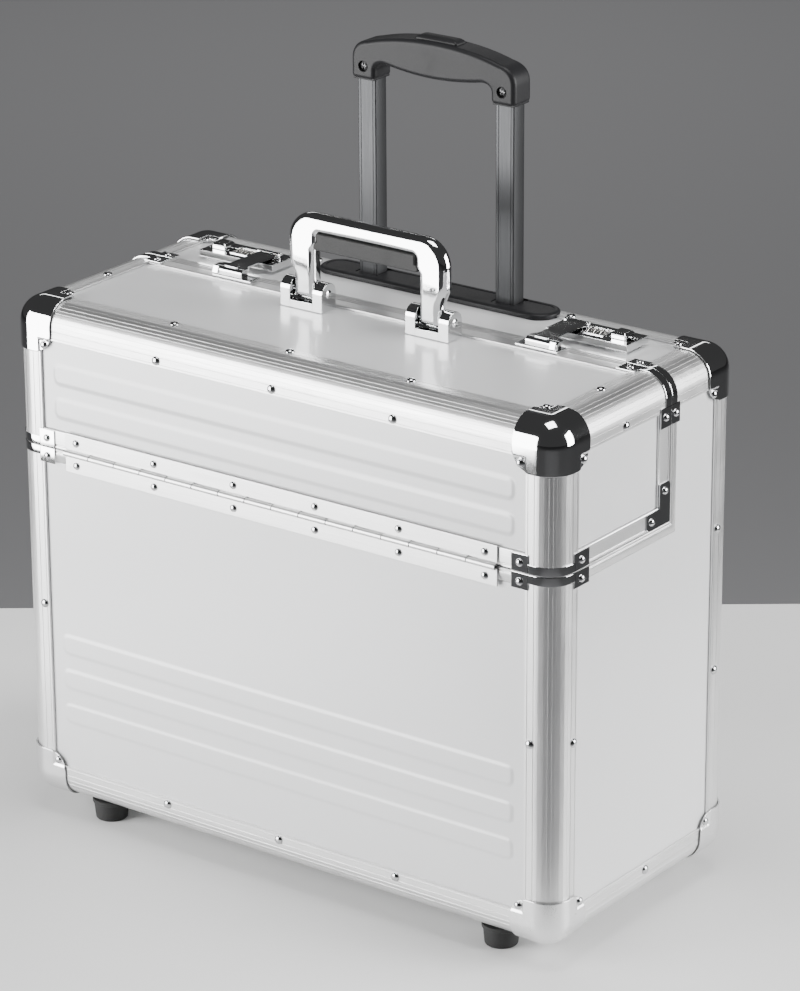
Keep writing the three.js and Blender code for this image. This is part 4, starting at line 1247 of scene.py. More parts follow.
@dataclass
class Rivets:
    """Every rivet head, one piece for each body."""

    shell: Shell
    bench: Bench
    repeat: Repeater
    rail_head: float = 3.3 * MM
    plate_head: float = 2.7 * MM
    cap_head: float = 2.9 * MM
    leaf_head: float = 2.8 * MM
    heads: dict[str,
                list[tuple[Vector, Vector, float]]] = field(default_factory=lambda: {"case": [], "lid": []})

    def add(self, body: str, point: Iterable[float], facing: Triple, head: float) -> None:
        """Adds one head."""
        self.heads[body].append((Vector(point), Vector(facing), head))

    def rail_rivets(self) -> None:
        """The rivets along the rails, in the middle of their flanges."""
        low, high = self.shell.low, self.shell.high
        inset = 20.6 * MM
        for x in (-101 * MM, -1.5 * MM, 99 * MM):
            self.add("lid", (x, low.y, high.z - inset), (0, -1, 0), self.rail_head)
            self.add("lid", (x, low.y + inset, high.z), (0, 0, 1), self.rail_head)
            self.add("case", (x, low.y, low.z + inset), (0, -1, 0), self.rail_head)
            self.add("case", (x, low.y + inset, low.z), (0, 0, -1), self.rail_head)
            self.add("case", (x, high.y, high.z - inset), (0, 1, 0), self.rail_head)
            self.add("case", (x, high.y, low.z + inset), (0, 1, 0), self.rail_head)
        for side in SIDES.values():
            face, inner = self.shell.face(Axis.X, side), self.shell.face(Axis.X, side) - side * inset
            out = (float(side), 0.0, 0.0)
            self.add("case", (109 * MM * side, high.y - inset, high.z), (0, 0, 1), self.rail_head)
            self.add("lid", (face, -28 * MM, high.z - inset), out, self.rail_head)
            self.add("lid", (inner, -27 * MM, high.z), (0, 0, 1), self.rail_head)
            self.add("case", (face, 3 * MM, low.z + inset), out, self.rail_head)
            self.add("case", (inner, 3 * MM, low.z), (0, 0, -1), self.rail_head)
            self.add("case", (inner, low.y, 164 * MM), (0, -1, 0), self.rail_head)
            self.add("case", (face, low.y + inset, 163 * MM), out, self.rail_head)
            for z in (156 * MM, 260 * MM):
                self.add("case", (face, high.y - inset, z), out, self.rail_head)
                self.add("case", (inner, high.y, z), (0, 1, 0), self.rail_head)

    def cap_rivets(self, cap: CornerCap) -> None:
        """The three rivets of every corner cap, each on its pad."""
        for side in SIDES.values():
            for fore, up in ((-1, -1), (1, -1), (1, 1), (-1, 1)):
                body = "lid" if (fore, up) == (-1, 1) else "case"
                signs = (side, fore, up)
                for out in Axis:
                    point = [
                        self.shell.face(axis, sign) - sign * (
                            cap.pad_depth - cap.proud if axis is out else cap.rivet_in)
                        for axis, sign in zip(Axis, signs)
                    ]
                    facing = tuple(float(sign) if axis is out else 0.0 for axis, sign in zip(Axis, signs))
                    self.add(body, point, facing, self.cap_head)

    def plate_rivets(self, plates: SplitPlates) -> None:
        """The rivets of the split plates and angles."""
        shell, wall = self.shell, plates.wall
        for side in SIDES.values():
            face = shell.face(Axis.X, side)
            out, outer = (float(side), 0.0, 0.0), face + side * wall
            front = face - side * sum(plates.front_plate) / 2
            beside = shell.low.y + sum(plates.side_plate) / 2
            above = sum(plates.top_plate) / 2
            for body, z, y in (("lid", shell.lid_floor + 6.4 * MM, shell.lid_back - 6.4 * MM),
                               ("case", shell.body_top - 6.2 * MM, shell.body_front + 4.9 * MM)):
                self.add(body, (front, shell.low.y - wall, z), (0, -1, 0), self.plate_head)
                self.add(body, (outer, beside, z), out, self.plate_head)
                self.add(body, (face - side * above, y, shell.high.z + wall), (0, 0, 1), self.plate_head)
                self.add(body, (outer, y, shell.high.z - above), out, self.plate_head)
            tall, long = plates.angle_arms
            middle = plates.plate_height / 2
            self.add("lid", (outer, shell.lid_back - middle, shell.lid_floor + tall - 6 * MM), out,
                     self.plate_head)
            self.add("lid", (outer, shell.lid_back - long + 6 * MM, shell.lid_floor + middle), out,
                     self.plate_head)

    def leaf_rivets(self) -> None:
        """The rivets of the hinge leaves."""
        hinge_z = (self.shell.lid_floor + self.shell.body_top) / 2
        for node, body, rise in (("hinge_upper_leaf", "lid", 8.2 * MM),
                                 ("hinge_lower_leaf", "case", -8.4 * MM)):
            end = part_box(node)[1].x
            for share in (-0.946, -0.567, -0.189, 0.189, 0.567, 0.946):
                point = (share * end, self.shell.low.y - 1.5 * MM, hinge_z + rise)
                self.add(body, point, (0, -1, 0), self.leaf_head)

    def build(self, cap: CornerCap, plates: SplitPlates) -> None:
        """Makes the rivets of both bodies."""
        self.rail_rivets()
        self.cap_rivets(cap)
        self.plate_rivets(plates)
        self.leaf_rivets()
        for body, heads in self.heads.items():
            mesh = bpy.data.meshes.new(f"{body}_rivets")
            mesh.from_pydata([tuple(point) for point, _, _ in heads], [], [])
            facing = mesh.attributes.new("facing", "FLOAT_VECTOR", "POINT")
            facing.data.foreach_set("vector", [c for _, way, _ in heads for c in way])
            head = mesh.attributes.new("head", "FLOAT", "POINT")
            head.data.foreach_set("value", [size for _, _, size in heads])
            obj = bpy.data.objects.new(f"{body}_rivets", mesh)
            bpy.context.scene.collection.objects.link(obj)
            self.repeat.run(obj, {"Dome": 0.62, "Material": self.bench.material(RIVET_METAL)})
            self.bench.fit(obj, RIVET_METAL, body)


@dataclass
class PianoHinge:
    """The two hinge leaves with their alternating knuckles, and the pin through them."""

    bench: Bench
    repeat: Repeater
    knuckles: int = 16
    knuckle_gap: float = 0.8 * MM
    radius: float = 2.2 * MM
    web: float = 3.0 * MM

    def leaf(self, node: str, body: str, first: int, up: int) -> None:
        """Makes one leaf.

        Args:
            node: The frame's node that it stands for.
            body: Its body.
            first: The place of its first knuckle, 0 or 1.
            up: 1 for the upper leaf, -1 for the lower one.
        """
        low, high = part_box(node)
        pin_low, pin_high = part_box("hinge_pin")
        middle = (pin_low + pin_high) / 2
        pitch = (pin_high.x - pin_low.x) / self.knuckles
        back = high.y
        plate = (back - 1.2 * MM, back)
        edge = high.z if up > 0 else low.z
        z0, z1 = sorted((middle.z + up * 2.6 * MM, edge))
        form = Form().box((pin_low.x, plate[0], z0), (pin_high.x, plate[1], z1))
        obj = form.build(f"{node}_plate")
        break_edges(obj, Rounding(0.3 * MM))
        length = pitch - self.knuckle_gap
        self.repeat.run(
            obj,
            {
                "Start": (pin_low.x + (first + 0.5) * pitch, middle.y, middle.z), "Pitch": 2 * pitch,
                "Count": self.knuckles // 2, "Radius": self.radius, "Length": length,
                "Web": (length, 1.2 * MM, self.web),
                "Web Place": (0.0, (plate[0] + plate[1]) / 2 - middle.y, up * self.web / 2),
                "Material": self.bench.material(HINGE_STEEL)},
        )
        shade(obj)
        grained(obj, Axis.X)
        self.bench.fit(obj, HINGE_STEEL, body, node)

    def build(self) -> None:
        """Makes the hinge."""
        self.leaf("hinge_upper_leaf", "lid", 0, 1)
        self.leaf("hinge_lower_leaf", "case", 1, -1)
        # The pin wears the dark screw steel so that the gaps between the knuckles show dark: painted shade in
        # the gaps.
        self.bench.dress(DARK_SCREW_AND_PAINTED_GAP_SHADE, "hinge_pin")


@dataclass
class Lining:
    """The padded cloth sheets inside body and lid."""

    shell: Shell
    bench: Bench
    wall: float = 1.3 * MM
    off_face: float = 6.2 * MM
    off_edge: float = 10.5 * MM

    def sheet(self, form: Form, out: Axis, sign: int, low: Point2, high: Point2) -> None:
        """Adds one sheet against a face, between two corners in the other two axes."""
        near = self.shell.face(out, sign) - sign * self.off_face
        far = near - sign * self.wall
        span = (min(near, far), max(near, far))
        outline = [(low[0], low[1]), (high[0], low[1]), (high[0], high[1]), (low[0], high[1])]
        form.prism(outline, out, span)

    def build(self) -> None:
        """Makes the lining of both bodies."""
        low, high, edge = self.shell.low, self.shell.high, self.off_edge
        x0, x1 = low.x + edge, high.x - edge
        y0, y1, z0, z1 = low.y + edge, high.y - edge, low.z + edge, high.z - edge
        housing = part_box("wheel_housing_right")[0].y + 6 * MM
        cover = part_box("trolley_cover")
        body_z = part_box("body_rim")[0].z - 0.5 * MM
        lid_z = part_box("lid_front_panel")[0].z + 0.2 * MM
        lid_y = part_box("lid_top_panel")[1].y - 0.2 * MM
        case, lid = Form(), Form()
        self.sheet(case, Axis.Y, -1, (x0, z0), (x1, body_z))
        self.sheet(case, Axis.Z, -1, (x0, y0), (x1, housing))
        for side in SIDES.values():
            self.sheet(case, Axis.X, side, (y0, z0), (y1, body_z))
            self.sheet(lid, Axis.X, side, (y0, lid_z), (lid_y, z1))
            ends = sorted((side * (cover[1].x + 1 * MM), side * x1))
            self.sheet(case, Axis.Y, 1, (ends[0], 52 * MM), (ends[1], z1))
        self.sheet(lid, Axis.Y, -1, (x0, lid_z), (x1, z1))
        self.sheet(lid, Axis.Z, 1, (x0, y0), (x1, lid_y))
        rounding = Rounding(0.5 * MM)
        self.bench.make(case, "body_lining", LINING_CLOTH, "case", rounding=rounding)
        self.bench.make(lid, "lid_lining", LINING_CLOTH, "lid", rounding=rounding)
        self.bench.dress(LINING_CLOTH, "trolley_cover")


# Carry handle ------------------------------------------------------------------------------------


@dataclass
class CarryHandle:
    """The chrome bail with its black grip, on two clevis bases."""

    bench: Bench
    leg_inner: float = 44.75 * MM
    leg_outer: float = 62.25 * MM
    half_width: float = 67 * MM
    rise: float = 57 * MM  # top of the bail over its pivot
    bar: float = 13 * MM
    depth: float = 12 * MM
    corner: float = 20 * MM
    tongue: float = 3 * MM  # how far the leg's top reaches over the end of the grip
    eye: float = 5.8 * MM
    cheek: float = 8.25 * MM
    sill: float = 5.4 * MM
    pin_head: float = 3.2 * MM

    def ring(self, inner: Point2, outer: Point2, half_depth: float) -> list[Vector]:
        """The bail's section between its inner and outer side, rounder outside than inside.

        Args:
            inner: The section's inner end as (x, z).
            outer: Its outer end.
            half_depth: Half its depth in Y.

        Returns:
            The section's points.
        """
        width = math.dist(inner, outer)
        round_out = min(6.0 * MM, half_depth * 0.97, width * 0.45)
        round_in = min(4.4 * MM, half_depth * 0.75, width * 0.35)
        outline = [
            *arc((width - round_out, -half_depth + round_out), round_out, -90, 0, 7),
            *arc((width - round_out, half_depth - round_out), round_out, 0, 90, 7),
            *arc((round_in, half_depth - round_in), round_in, 90, 180, 6),
            *arc((round_in, -half_depth + round_in), round_in, 180, 270, 6)]
        ux, uz = (outer[0] - inner[0]) / width, (outer[1] - inner[1]) / width
        return [Vector((inner[0] + s * ux, t, inner[1] + s * uz)) for s, t in outline]

    def stations(self) -> list[tuple[Point2, Point2, float]]:
        """The bail's right half from the bottom of its leg to the middle of its bar."""
        full = self.depth / 2
        made: list[tuple[Point2, Point2, float]] = []
        heights = [-self.eye * math.cos(math.radians(a)) for a in (8, 20, 35, 50, 65, 80)]
        heights += spread(0.0, self.rise - self.corner, 22)
        for z in heights:
            outer = self.leg_outer + (self.half_width - self.leg_outer) * smooth_step(9 * MM, 24 * MM, z)
            inner = self.leg_inner - self.tongue * smooth_step(31 * MM, 36.5 * MM, z)
            eye = math.sqrt(max(self.eye**2 - z * z, 0.0)) if z < 0 else self.eye
            deep = eye + (full - self.eye) * smooth_step(0.0, 8 * MM, z)
            made.append(((inner, z), (outer, z), deep))
        small = 3 * MM
        turn_in = (self.leg_inner - self.tongue - small, self.rise - self.bar - small)
        turn_out = (self.half_width - self.corner, self.rise - self.corner)
        for inner, outer in zip(arc(turn_in, small, 0, 90, 14)[1:],
                                arc(turn_out, self.corner, 0, 90, 14)[1:]):
            made.append((inner, outer, full))
        for x_in, x_out in zip(spread(turn_in[0], 0.0, 6)[1:], spread(turn_out[0], 0.0, 6)[1:]):
            made.append(((x_in, self.rise - self.bar), (x_out, self.rise), full))
        return made

    def bail(self, pivot: Vector) -> None:
        """Makes the chrome bail."""
        half = self.stations()
        rings = [[p + pivot for p in self.ring(*station)] for station in half]
        mirrored = []
        for ring in reversed(rings[:-1]):
            mirrored.append([Vector((2 * pivot.x - p.x, p.y, p.z)) for p in ring])
        obj = Form().skin(rings + mirrored).build("carry_handle_bail_bar")
        break_edges(obj, None)
        self.bench.fit(obj, CHROME, "carry_handle", "carry_handle_bail")

    def grip(self, pivot: Vector) -> None:
        """Makes the grip that fills the bar's underside between the legs."""
        top = self.rise - self.bar - 0.15 * MM
        floor, narrow = top - 12 * MM, self.leg_inner - self.tongue - 0.3 * MM
        wide = self.leg_inner - 0.3 * MM
        right = [(narrow, top), (narrow, top - 6.5 * MM), *quadratic(
            (narrow, top - 6.5 * MM), (wide, top - 7.5 * MM), (wide, floor + 2 * MM), 6)]
        right += quadratic((wide, floor + 2 * MM), (wide, floor), (wide - 3 * MM, floor), 5)
        outline = [*right, *[(-x, z) for x, z in reversed(right)]]
        places = [(pivot.x + x, pivot.z + z) for x, z in outline]
        half = self.depth / 2 - 0.25 * MM
        form = Form().prism(places, Axis.Y, (pivot.y - half, pivot.y + half))
        self.bench.make(form, "carry_handle_grip_pad", RUBBER, "carry_handle", "carry_handle_grip",
                        rounding=Rounding(1.6 * MM, 4, 50.0))

    def base(self, node: str) -> None:
        """Makes one clevis base."""
        low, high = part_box(node)
        middle = (low + high) / 2
        radius = (high.y - low.y) / 2
        axle = high.z - radius
        cheek = [(low.y, low.z), (high.y, low.z), *arc((middle.y, axle), radius, 0, 180, 20)]
        form = Form()
        form.prism(cheek, Axis.X, (low.x, low.x + self.cheek))
        form.prism(cheek, Axis.X, (high.x - self.cheek, high.x))
        form.box((low.x + self.cheek - 0.1 * MM, low.y, low.z),
                 (high.x - self.cheek + 0.1 * MM, high.y, low.z + self.sill))
        head = [(0.0, 0.7 * MM), (self.pin_head * 0.6, 0.6 * MM), (self.pin_head, 0.1 * MM),
                (self.pin_head, -0.4 * MM), (0.0, -0.4 * MM)]
        centre = (0.0, middle.y, axle)
        form.turned([(r, high.x + h - 0.1 * MM) for r, h in head], Axis.X, centre, 28)
        form.turned([(r, low.x - h + 0.1 * MM) for r, h in head], Axis.X, centre, 28)
        form.rod(Axis.X, centre, 2.3 * MM, (low.x + 2 * MM, high.x - 2 * MM))
        self.bench.make(form, f"{node}_clevis", CHROME, "lid", node, rounding=Rounding(0.6 * MM, 3, 50.0))

    def build(self) -> None:
        """Makes the handle and its bases."""
        low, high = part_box("handle_base_right")
        pivot = Vector((0.0, (low.y + high.y) / 2, high.z - (high.y - low.y) / 2))
        self.bail(pivot)
        self.grip(pivot)
        for word in SIDES:
            self.base(f"handle_base_{word}")


# Locks -------------------------------------------------------------------------------------------


@dataclass
class Lock:
    """One combination lock: plate, dials, slide button, hasp and keeper. Places are given for the right."""

    bench: Bench
    ribs: Repeater
    side: int
    word: str
    plate_wall: float = 5 * MM
    dial_play: float = 0.4 * MM
    hasp_wall: float = 1.8 * MM
    hasp_tail: Point2 = (124 * MM, 140 * MM)
    hasp_tip: Point2 = (121 * MM, 147 * MM)
    flare: Point2 = (20 * MM, 25 * MM)
    pin_radius: float = 0.9 * MM
    dial_axle: float = 1.0 * MM
    rib_count: int = 20

    def reach(self, node: str) -> tuple[Vector, Vector]:
        """A node's box with X counted outwards from the middle of the case."""
        low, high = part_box(f"{node}_{self.word}")
        if self.side < 0:
            low.x, high.x = -high.x, -low.x
        return low, high

    def mirrored(self, form: Form) -> Form:
        """Sets a form made for the right-hand lock on this lock's side."""
        form.points = [Vector((self.side * p.x, p.y, p.z)) for p in form.points]
        return form

    def dial_boxes(self) -> list[tuple[Vector, Vector]]:
        """The boxes of the three dials, in the order of their nodes."""
        boxes = []
        for i in (1, 2, 3):
            low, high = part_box(f"dial_{self.word}_{i}")
            boxes.append((low, high) if self.side > 0 else (
                Vector((-high.x, low.y, low.z)), Vector((-low.x, high.y, high.z))))
        return boxes

    def plate(self) -> None:
        """Makes the lock plate with windows for the dials and a track for the button."""
        low, high = self.reach("lock_plate")
        ear_top = high.z
        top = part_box("rear_edge_frame")[1].z + 0.3 * MM + self.plate_wall
        floor = top - self.plate_wall
        dials = self.dial_boxes()
        middle = (dials[0][0].y + dials[0][1].y) / 2
        axle_z = (dials[0][0].z + dials[0][1].z) / 2
        radius = (dials[0][1].z - dials[0][0].z) / 2 + self.dial_play
        form = self.mirrored(Form().box((low.x, low.y, floor), (high.x, high.y, top)))
        obj = form.build(f"lock_plate_{self.word}_face")
        tools = []
        for dial_low, dial_high in dials:
            ends = (dial_low.x - 0.25 * MM, dial_high.x + 0.25 * MM)
            window = Form().rod(Axis.X, (0.0, middle, axle_z), radius, ends, 48)
            tools.append(self.mirrored(window).build("window"))
        button_low, button_high = self.reach("lock_button")
        track = Form().box((button_low.x - 2.5 * MM, middle - 4.2 * MM, top - 0.8 * MM),
                           (high.x - 2.2 * MM, middle + 4.2 * MM, top + MM))
        slot = Form().box((button_low.x + 3.2 * MM, middle - 2.8 * MM, floor - MM),
                          (button_high.x + 1.8 * MM, middle + 2.8 * MM, top + MM))
        tools += [self.mirrored(t).build("cut") for t in (track, slot)]
        carve(obj, tools, "DIFFERENCE")
        break_edges(obj, Rounding(0.45 * MM, 2, 50.0))
        self.bench.fit(obj, CHROME, "case", f"lock_plate_{self.word}")
        self.works(low, top, axle_z, middle, ear_top)

    def works(self, low: Vector, top: float, axle_z: float, middle: float, ear_top: float) -> None:
        """Makes the lock body under the deck, the frame round the dials, the axle, ears and hasp pin.

        Args:
            low: Lowest corner of the lock plate's box.
            top: Height of the plate's face.
            axle_z: Height of the dial axle.
            middle: The lock's middle line in Y.
            ear_top: Height of the ears.
        """
        dials = self.dial_boxes()
        form = Form()
        wall, half = 0.9 * MM, 8.2 * MM
        x0, x1 = dials[0][0].x - 2.4 * MM, self.reach("lock_button")[1].x + 3.4 * MM
        floor = top - self.plate_wall
        for y0, y1 in ((middle - half, middle - half + wall), (middle + half - wall, middle + half)):
            form.box((x0, y0, low.z), (x1, y1, floor))
        for a, b in ((x0, x0 + wall), (x1 - wall, x1)):
            form.box((a, middle - half, low.z), (b, middle + half, floor))
        form.box((x0, middle - half, low.z), (x1, middle + half, low.z + wall))
        ends = (dials[0][0].x - 2 * MM, dials[-1][1].x + 2 * MM)
        form.rod(Axis.X, (0.0, middle, axle_z), self.dial_axle, ends, 20)
        rim_x = (dials[0][0].x - 1.9 * MM, dials[-1][1].x + 1.9 * MM)
        for y in (middle - 7.2 * MM, middle + 6.4 * MM):
            form.box((rim_x[0], y, top - 0.2 * MM), (rim_x[1], y + 0.8 * MM, top + 0.7 * MM))
        for x in (rim_x[0] - 0.1 * MM, rim_x[1] - 0.7 * MM):
            form.box((x, middle - 7.2 * MM, top - 0.2 * MM),
                     (x + 0.8 * MM, middle + 7.2 * MM, top + 0.7 * MM))
        pin_y = self.reach("hasp")[1].y - 2 * MM
        pin_z = ear_top - 2 * MM
        for x in (self.hasp_tail[0] - 2.3 * MM, self.hasp_tail[1] + 0.3 * MM):
            ear = [(pin_y - 2.2 * MM, top - 0.2 * MM), (pin_y + 2.2 * MM, top - 0.2 * MM),
                   *arc((pin_y, pin_z), 2.0 * MM, 0, 180, 12)]
            form.prism(ear, Axis.X, (x, x + 2 * MM))
        ends = (self.hasp_tail[0] - MM, self.hasp_tail[1] + MM)
        form.rod(Axis.X, (0.0, pin_y, pin_z), self.pin_radius, ends, 20)
        self.bench.make(self.mirrored(form), f"lock_works_{self.word}", CHROME, "case",
                        rounding=Rounding(0.25 * MM, 2, 50.0))

    def hasp(self) -> None:
        """Makes the hasp: a barrel, a plate that flares towards its tip, and a lip turned down in front."""
        low, high = self.reach("hasp")
        pin_y = high.y - 2 * MM
        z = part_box(f"lock_plate_{self.word}")[1].z - 2 * MM
        half, bend = self.hasp_wall / 2, 2.4 * MM
        line: list[tuple[float, float, float]] = []
        for y in (pin_y - 1.7 * MM, *spread(pin_y - 4 * MM, self.flare[1], 3),
                  *spread(self.flare[1], self.flare[0], 6)[1:],
                  low.y + bend + half):
            line.append((y, z, 0.0))
        for angle in spread(0, 90, 7)[1:]:
            turn = math.radians(angle)
            line.append((low.y + half + bend * (1 - math.sin(turn)), z - bend * (1 - math.cos(turn)), turn))
        line.append((low.y + half, low.z + 0.3 * MM, math.pi / 2))
        rings = []
        for y, height, turn in line:
            share = 1 - smooth_step(self.flare[0], self.flare[1], y)
            ends = [a + (b - a) * share for a, b in zip(self.hasp_tail, self.hasp_tip)]
            edge = 0.35 * MM
            outline = [(ends[0], -half + edge), (ends[0] + edge, -half), (ends[1] - edge, -half),
                       (ends[1], -half + edge), (ends[1], half - edge), (ends[1] - edge, half),
                       (ends[0] + edge, half), (ends[0], half - edge)]
            rings.append([Vector((x, y - t * math.sin(turn), height + t * math.cos(turn))) for x,
                          t in outline])
        form = Form().skin(rings)
        bore = self.pin_radius + 0.3 * MM
        barrel = [(bore, self.hasp_tail[0]), (2 * MM, self.hasp_tail[0]), (2 * MM, self.hasp_tail[1]),
                  (bore, self.hasp_tail[1])]
        form.turned(barrel, Axis.X, (0.0, pin_y, z), 28, loop=True)
        tab = rounded_rectangle((127 * MM, 15.2 * MM), (138 * MM, 19.6 * MM), 0.8 * MM, 3)
        form.prism(tab, Axis.Z, (z + half - 0.2 * MM, z + half + 0.9 * MM))
        nose_x = self.hasp_tip[1] - 5.6 * MM
        nose = [(low.y - 1.6 * MM, low.z + 1.2 * MM), (low.y + 0.8 * MM, low.z + 0.4 * MM),
                (low.y + 0.8 * MM, z + half), (low.y + 0.2 * MM, z + half)]
        form.prism(nose, Axis.X, (nose_x, nose_x + 4.6 * MM))
        self.bench.make(self.mirrored(form), f"hasp_{self.word}_plate", CHROME, f"hasp_{self.word}",
                        f"hasp_{self.word}", rounding=Rounding(0.2 * MM, 2, 60.0))

    def keeper(self) -> None:
        """Makes the keeper on the lid that the hasp closes over."""
        low, high = self.reach("keeper")
        plate_top = low.z + 1.7 * MM
        form = Form().box(low, (high.x, high.y, plate_top))
        post = [(15.4 * MM, plate_top - 0.2 * MM), (22.9 * MM, plate_top - 0.2 * MM),
                (22.9 * MM, high.z - 1.5 * MM),
                (21.4 * MM, high.z), (17 * MM, high.z), (15.4 * MM, high.z - 2.4 * MM)]
        form.prism(post, Axis.X, (low.x + 10 * MM, high.x - 3 * MM))
        self.bench.make(self.mirrored(form), f"keeper_{self.word}_plate", CHROME, "lid",
                        f"keeper_{self.word}",
                        rounding=Rounding(0.4 * MM, 2, 50.0))

    def button(self) -> None:
        """Makes the slide button: a bevelled cap on a stem."""
        low, high = self.reach("lock_button")
        middle = (low + high) / 2
        floor = high.z - 4.5 * MM
        slope, step = 1.3 * MM, 1.6 * MM
        stack = [(0.0, floor), (0.0, high.z - step), (slope, high.z)]
        form = Form().layers([(inset_outline(low, high, (i, i), 0.9 * MM, 3), z) for i, z in stack])
        stem = 2.4 * MM
        form.box((middle.x - stem, middle.y - stem, low.z),
                 (middle.x + stem, middle.y + stem, floor + 0.2 * MM))
        self.bench.make(self.mirrored(form), f"lock_button_{self.word}_cap", CHROME,
                        f"lock_button_{self.word}",
                        f"lock_button_{self.word}", rounding=Rounding(0.3 * MM, 2, 25.0))

    def dial(self, at: int, low: Vector, high: Vector) -> None:
        """Makes one ribbed dial and the numbers round it.

        Args:
            at: The dial's place, 1 to 3.
            low: Lowest corner of its box, as on the right.
            high: Highest corner.
        """
        name = f"dial_{self.word}_{at}"
        centre = (low + high) / 2
        centre.x *= self.side
        radius, half = (high.z - low.z) / 2, (high.x - low.x) / 2
        bore, rim = 1.3 * MM, radius - 0.45 * MM
        band = half - 0.7 * MM
        profile = [(bore, -half), (rim - 0.4 * MM, -half), (rim, -half + 0.4 * MM), (rim, -band),
                   (rim - 0.15 * MM, -band + 0.1 * MM),
                   (rim - 0.15 * MM, band - 0.1 * MM), (rim, band), (rim, half - 0.4 * MM),
                   (rim - 0.4 * MM, half), (bore, half)]
        form = Form().turned(profile, Axis.X, tuple(centre), 60, loop=True)
        obj = form.build(f"{name}_wheel")
        for place in (-1, 1):
            self.ribs.run(obj, {
                "Centre": tuple(centre + Vector((place * (half - 0.35 * MM), 0, 0))),
                "Radius": radius - 0.3 * MM,
                "Count": self.rib_count, "Rib": (0.6 * MM, 1.1 * MM, 0.6 * MM),
                "Material": self.bench.material(DIAL_METAL)})
        shade(obj)
        self.bench.fit(obj, DIAL_METAL, name, name)
        self.numbers(name, centre, rim - 0.15 * MM, at)

    def numbers(self, body: str, centre: Vector, radius: float, first: int) -> None:
        """Makes the ten numbers round a dial.

        Args:
            body: The dial's body.
            centre: The dial's middle.
            radius: Radius that the numbers lie on.
            first: The number that shows on top.
        """
        form = Form()
        for step in range(10):
            text = bpy.data.curves.new("number", "FONT")
            text.body = str((first + step) % 10)
            text.size = 2.9 * MM
            text.align_x, text.align_y = "CENTER", "CENTER"
            text.extrude = 0.05 * MM
            text.resolution_u = 2
            flat = bpy.data.objects.new("number", text)
            bpy.context.scene.collection.objects.link(flat)
            mesh = bpy.data.meshes.new_from_object(flat.evaluated_get(bpy.context.evaluated_depsgraph_get()))
            turn = math.radians(36 * step)
            base = len(form.points)
            for vertex in mesh.vertices:
                x, y, z = vertex.co
                angle, out = turn + y / radius, radius + z + 0.02 * MM
                form.points.append(centre + Vector((x, -out * math.sin(-angle), out * math.cos(angle))))
            form.faces += [[base + i for i in face.vertices] for face in mesh.polygons]
            bpy.data.objects.remove(flat)
            bpy.data.curves.remove(text)
            bpy.data.meshes.remove(mesh)
        obj = form.build(f"{body}_numbers")
        shade(obj)
        self.bench.fit(obj, NUMBER_PAINT, body)

    def build(self) -> None:
        """Makes the whole lock."""
        self.plate()
        self.hasp()
        self.keeper()
        self.button()
        for at, (low, high) in enumerate(self.dial_boxes(), 1):
            self.dial(at, low, high)


# Trolley -----------------------------------------------------------------------------------------


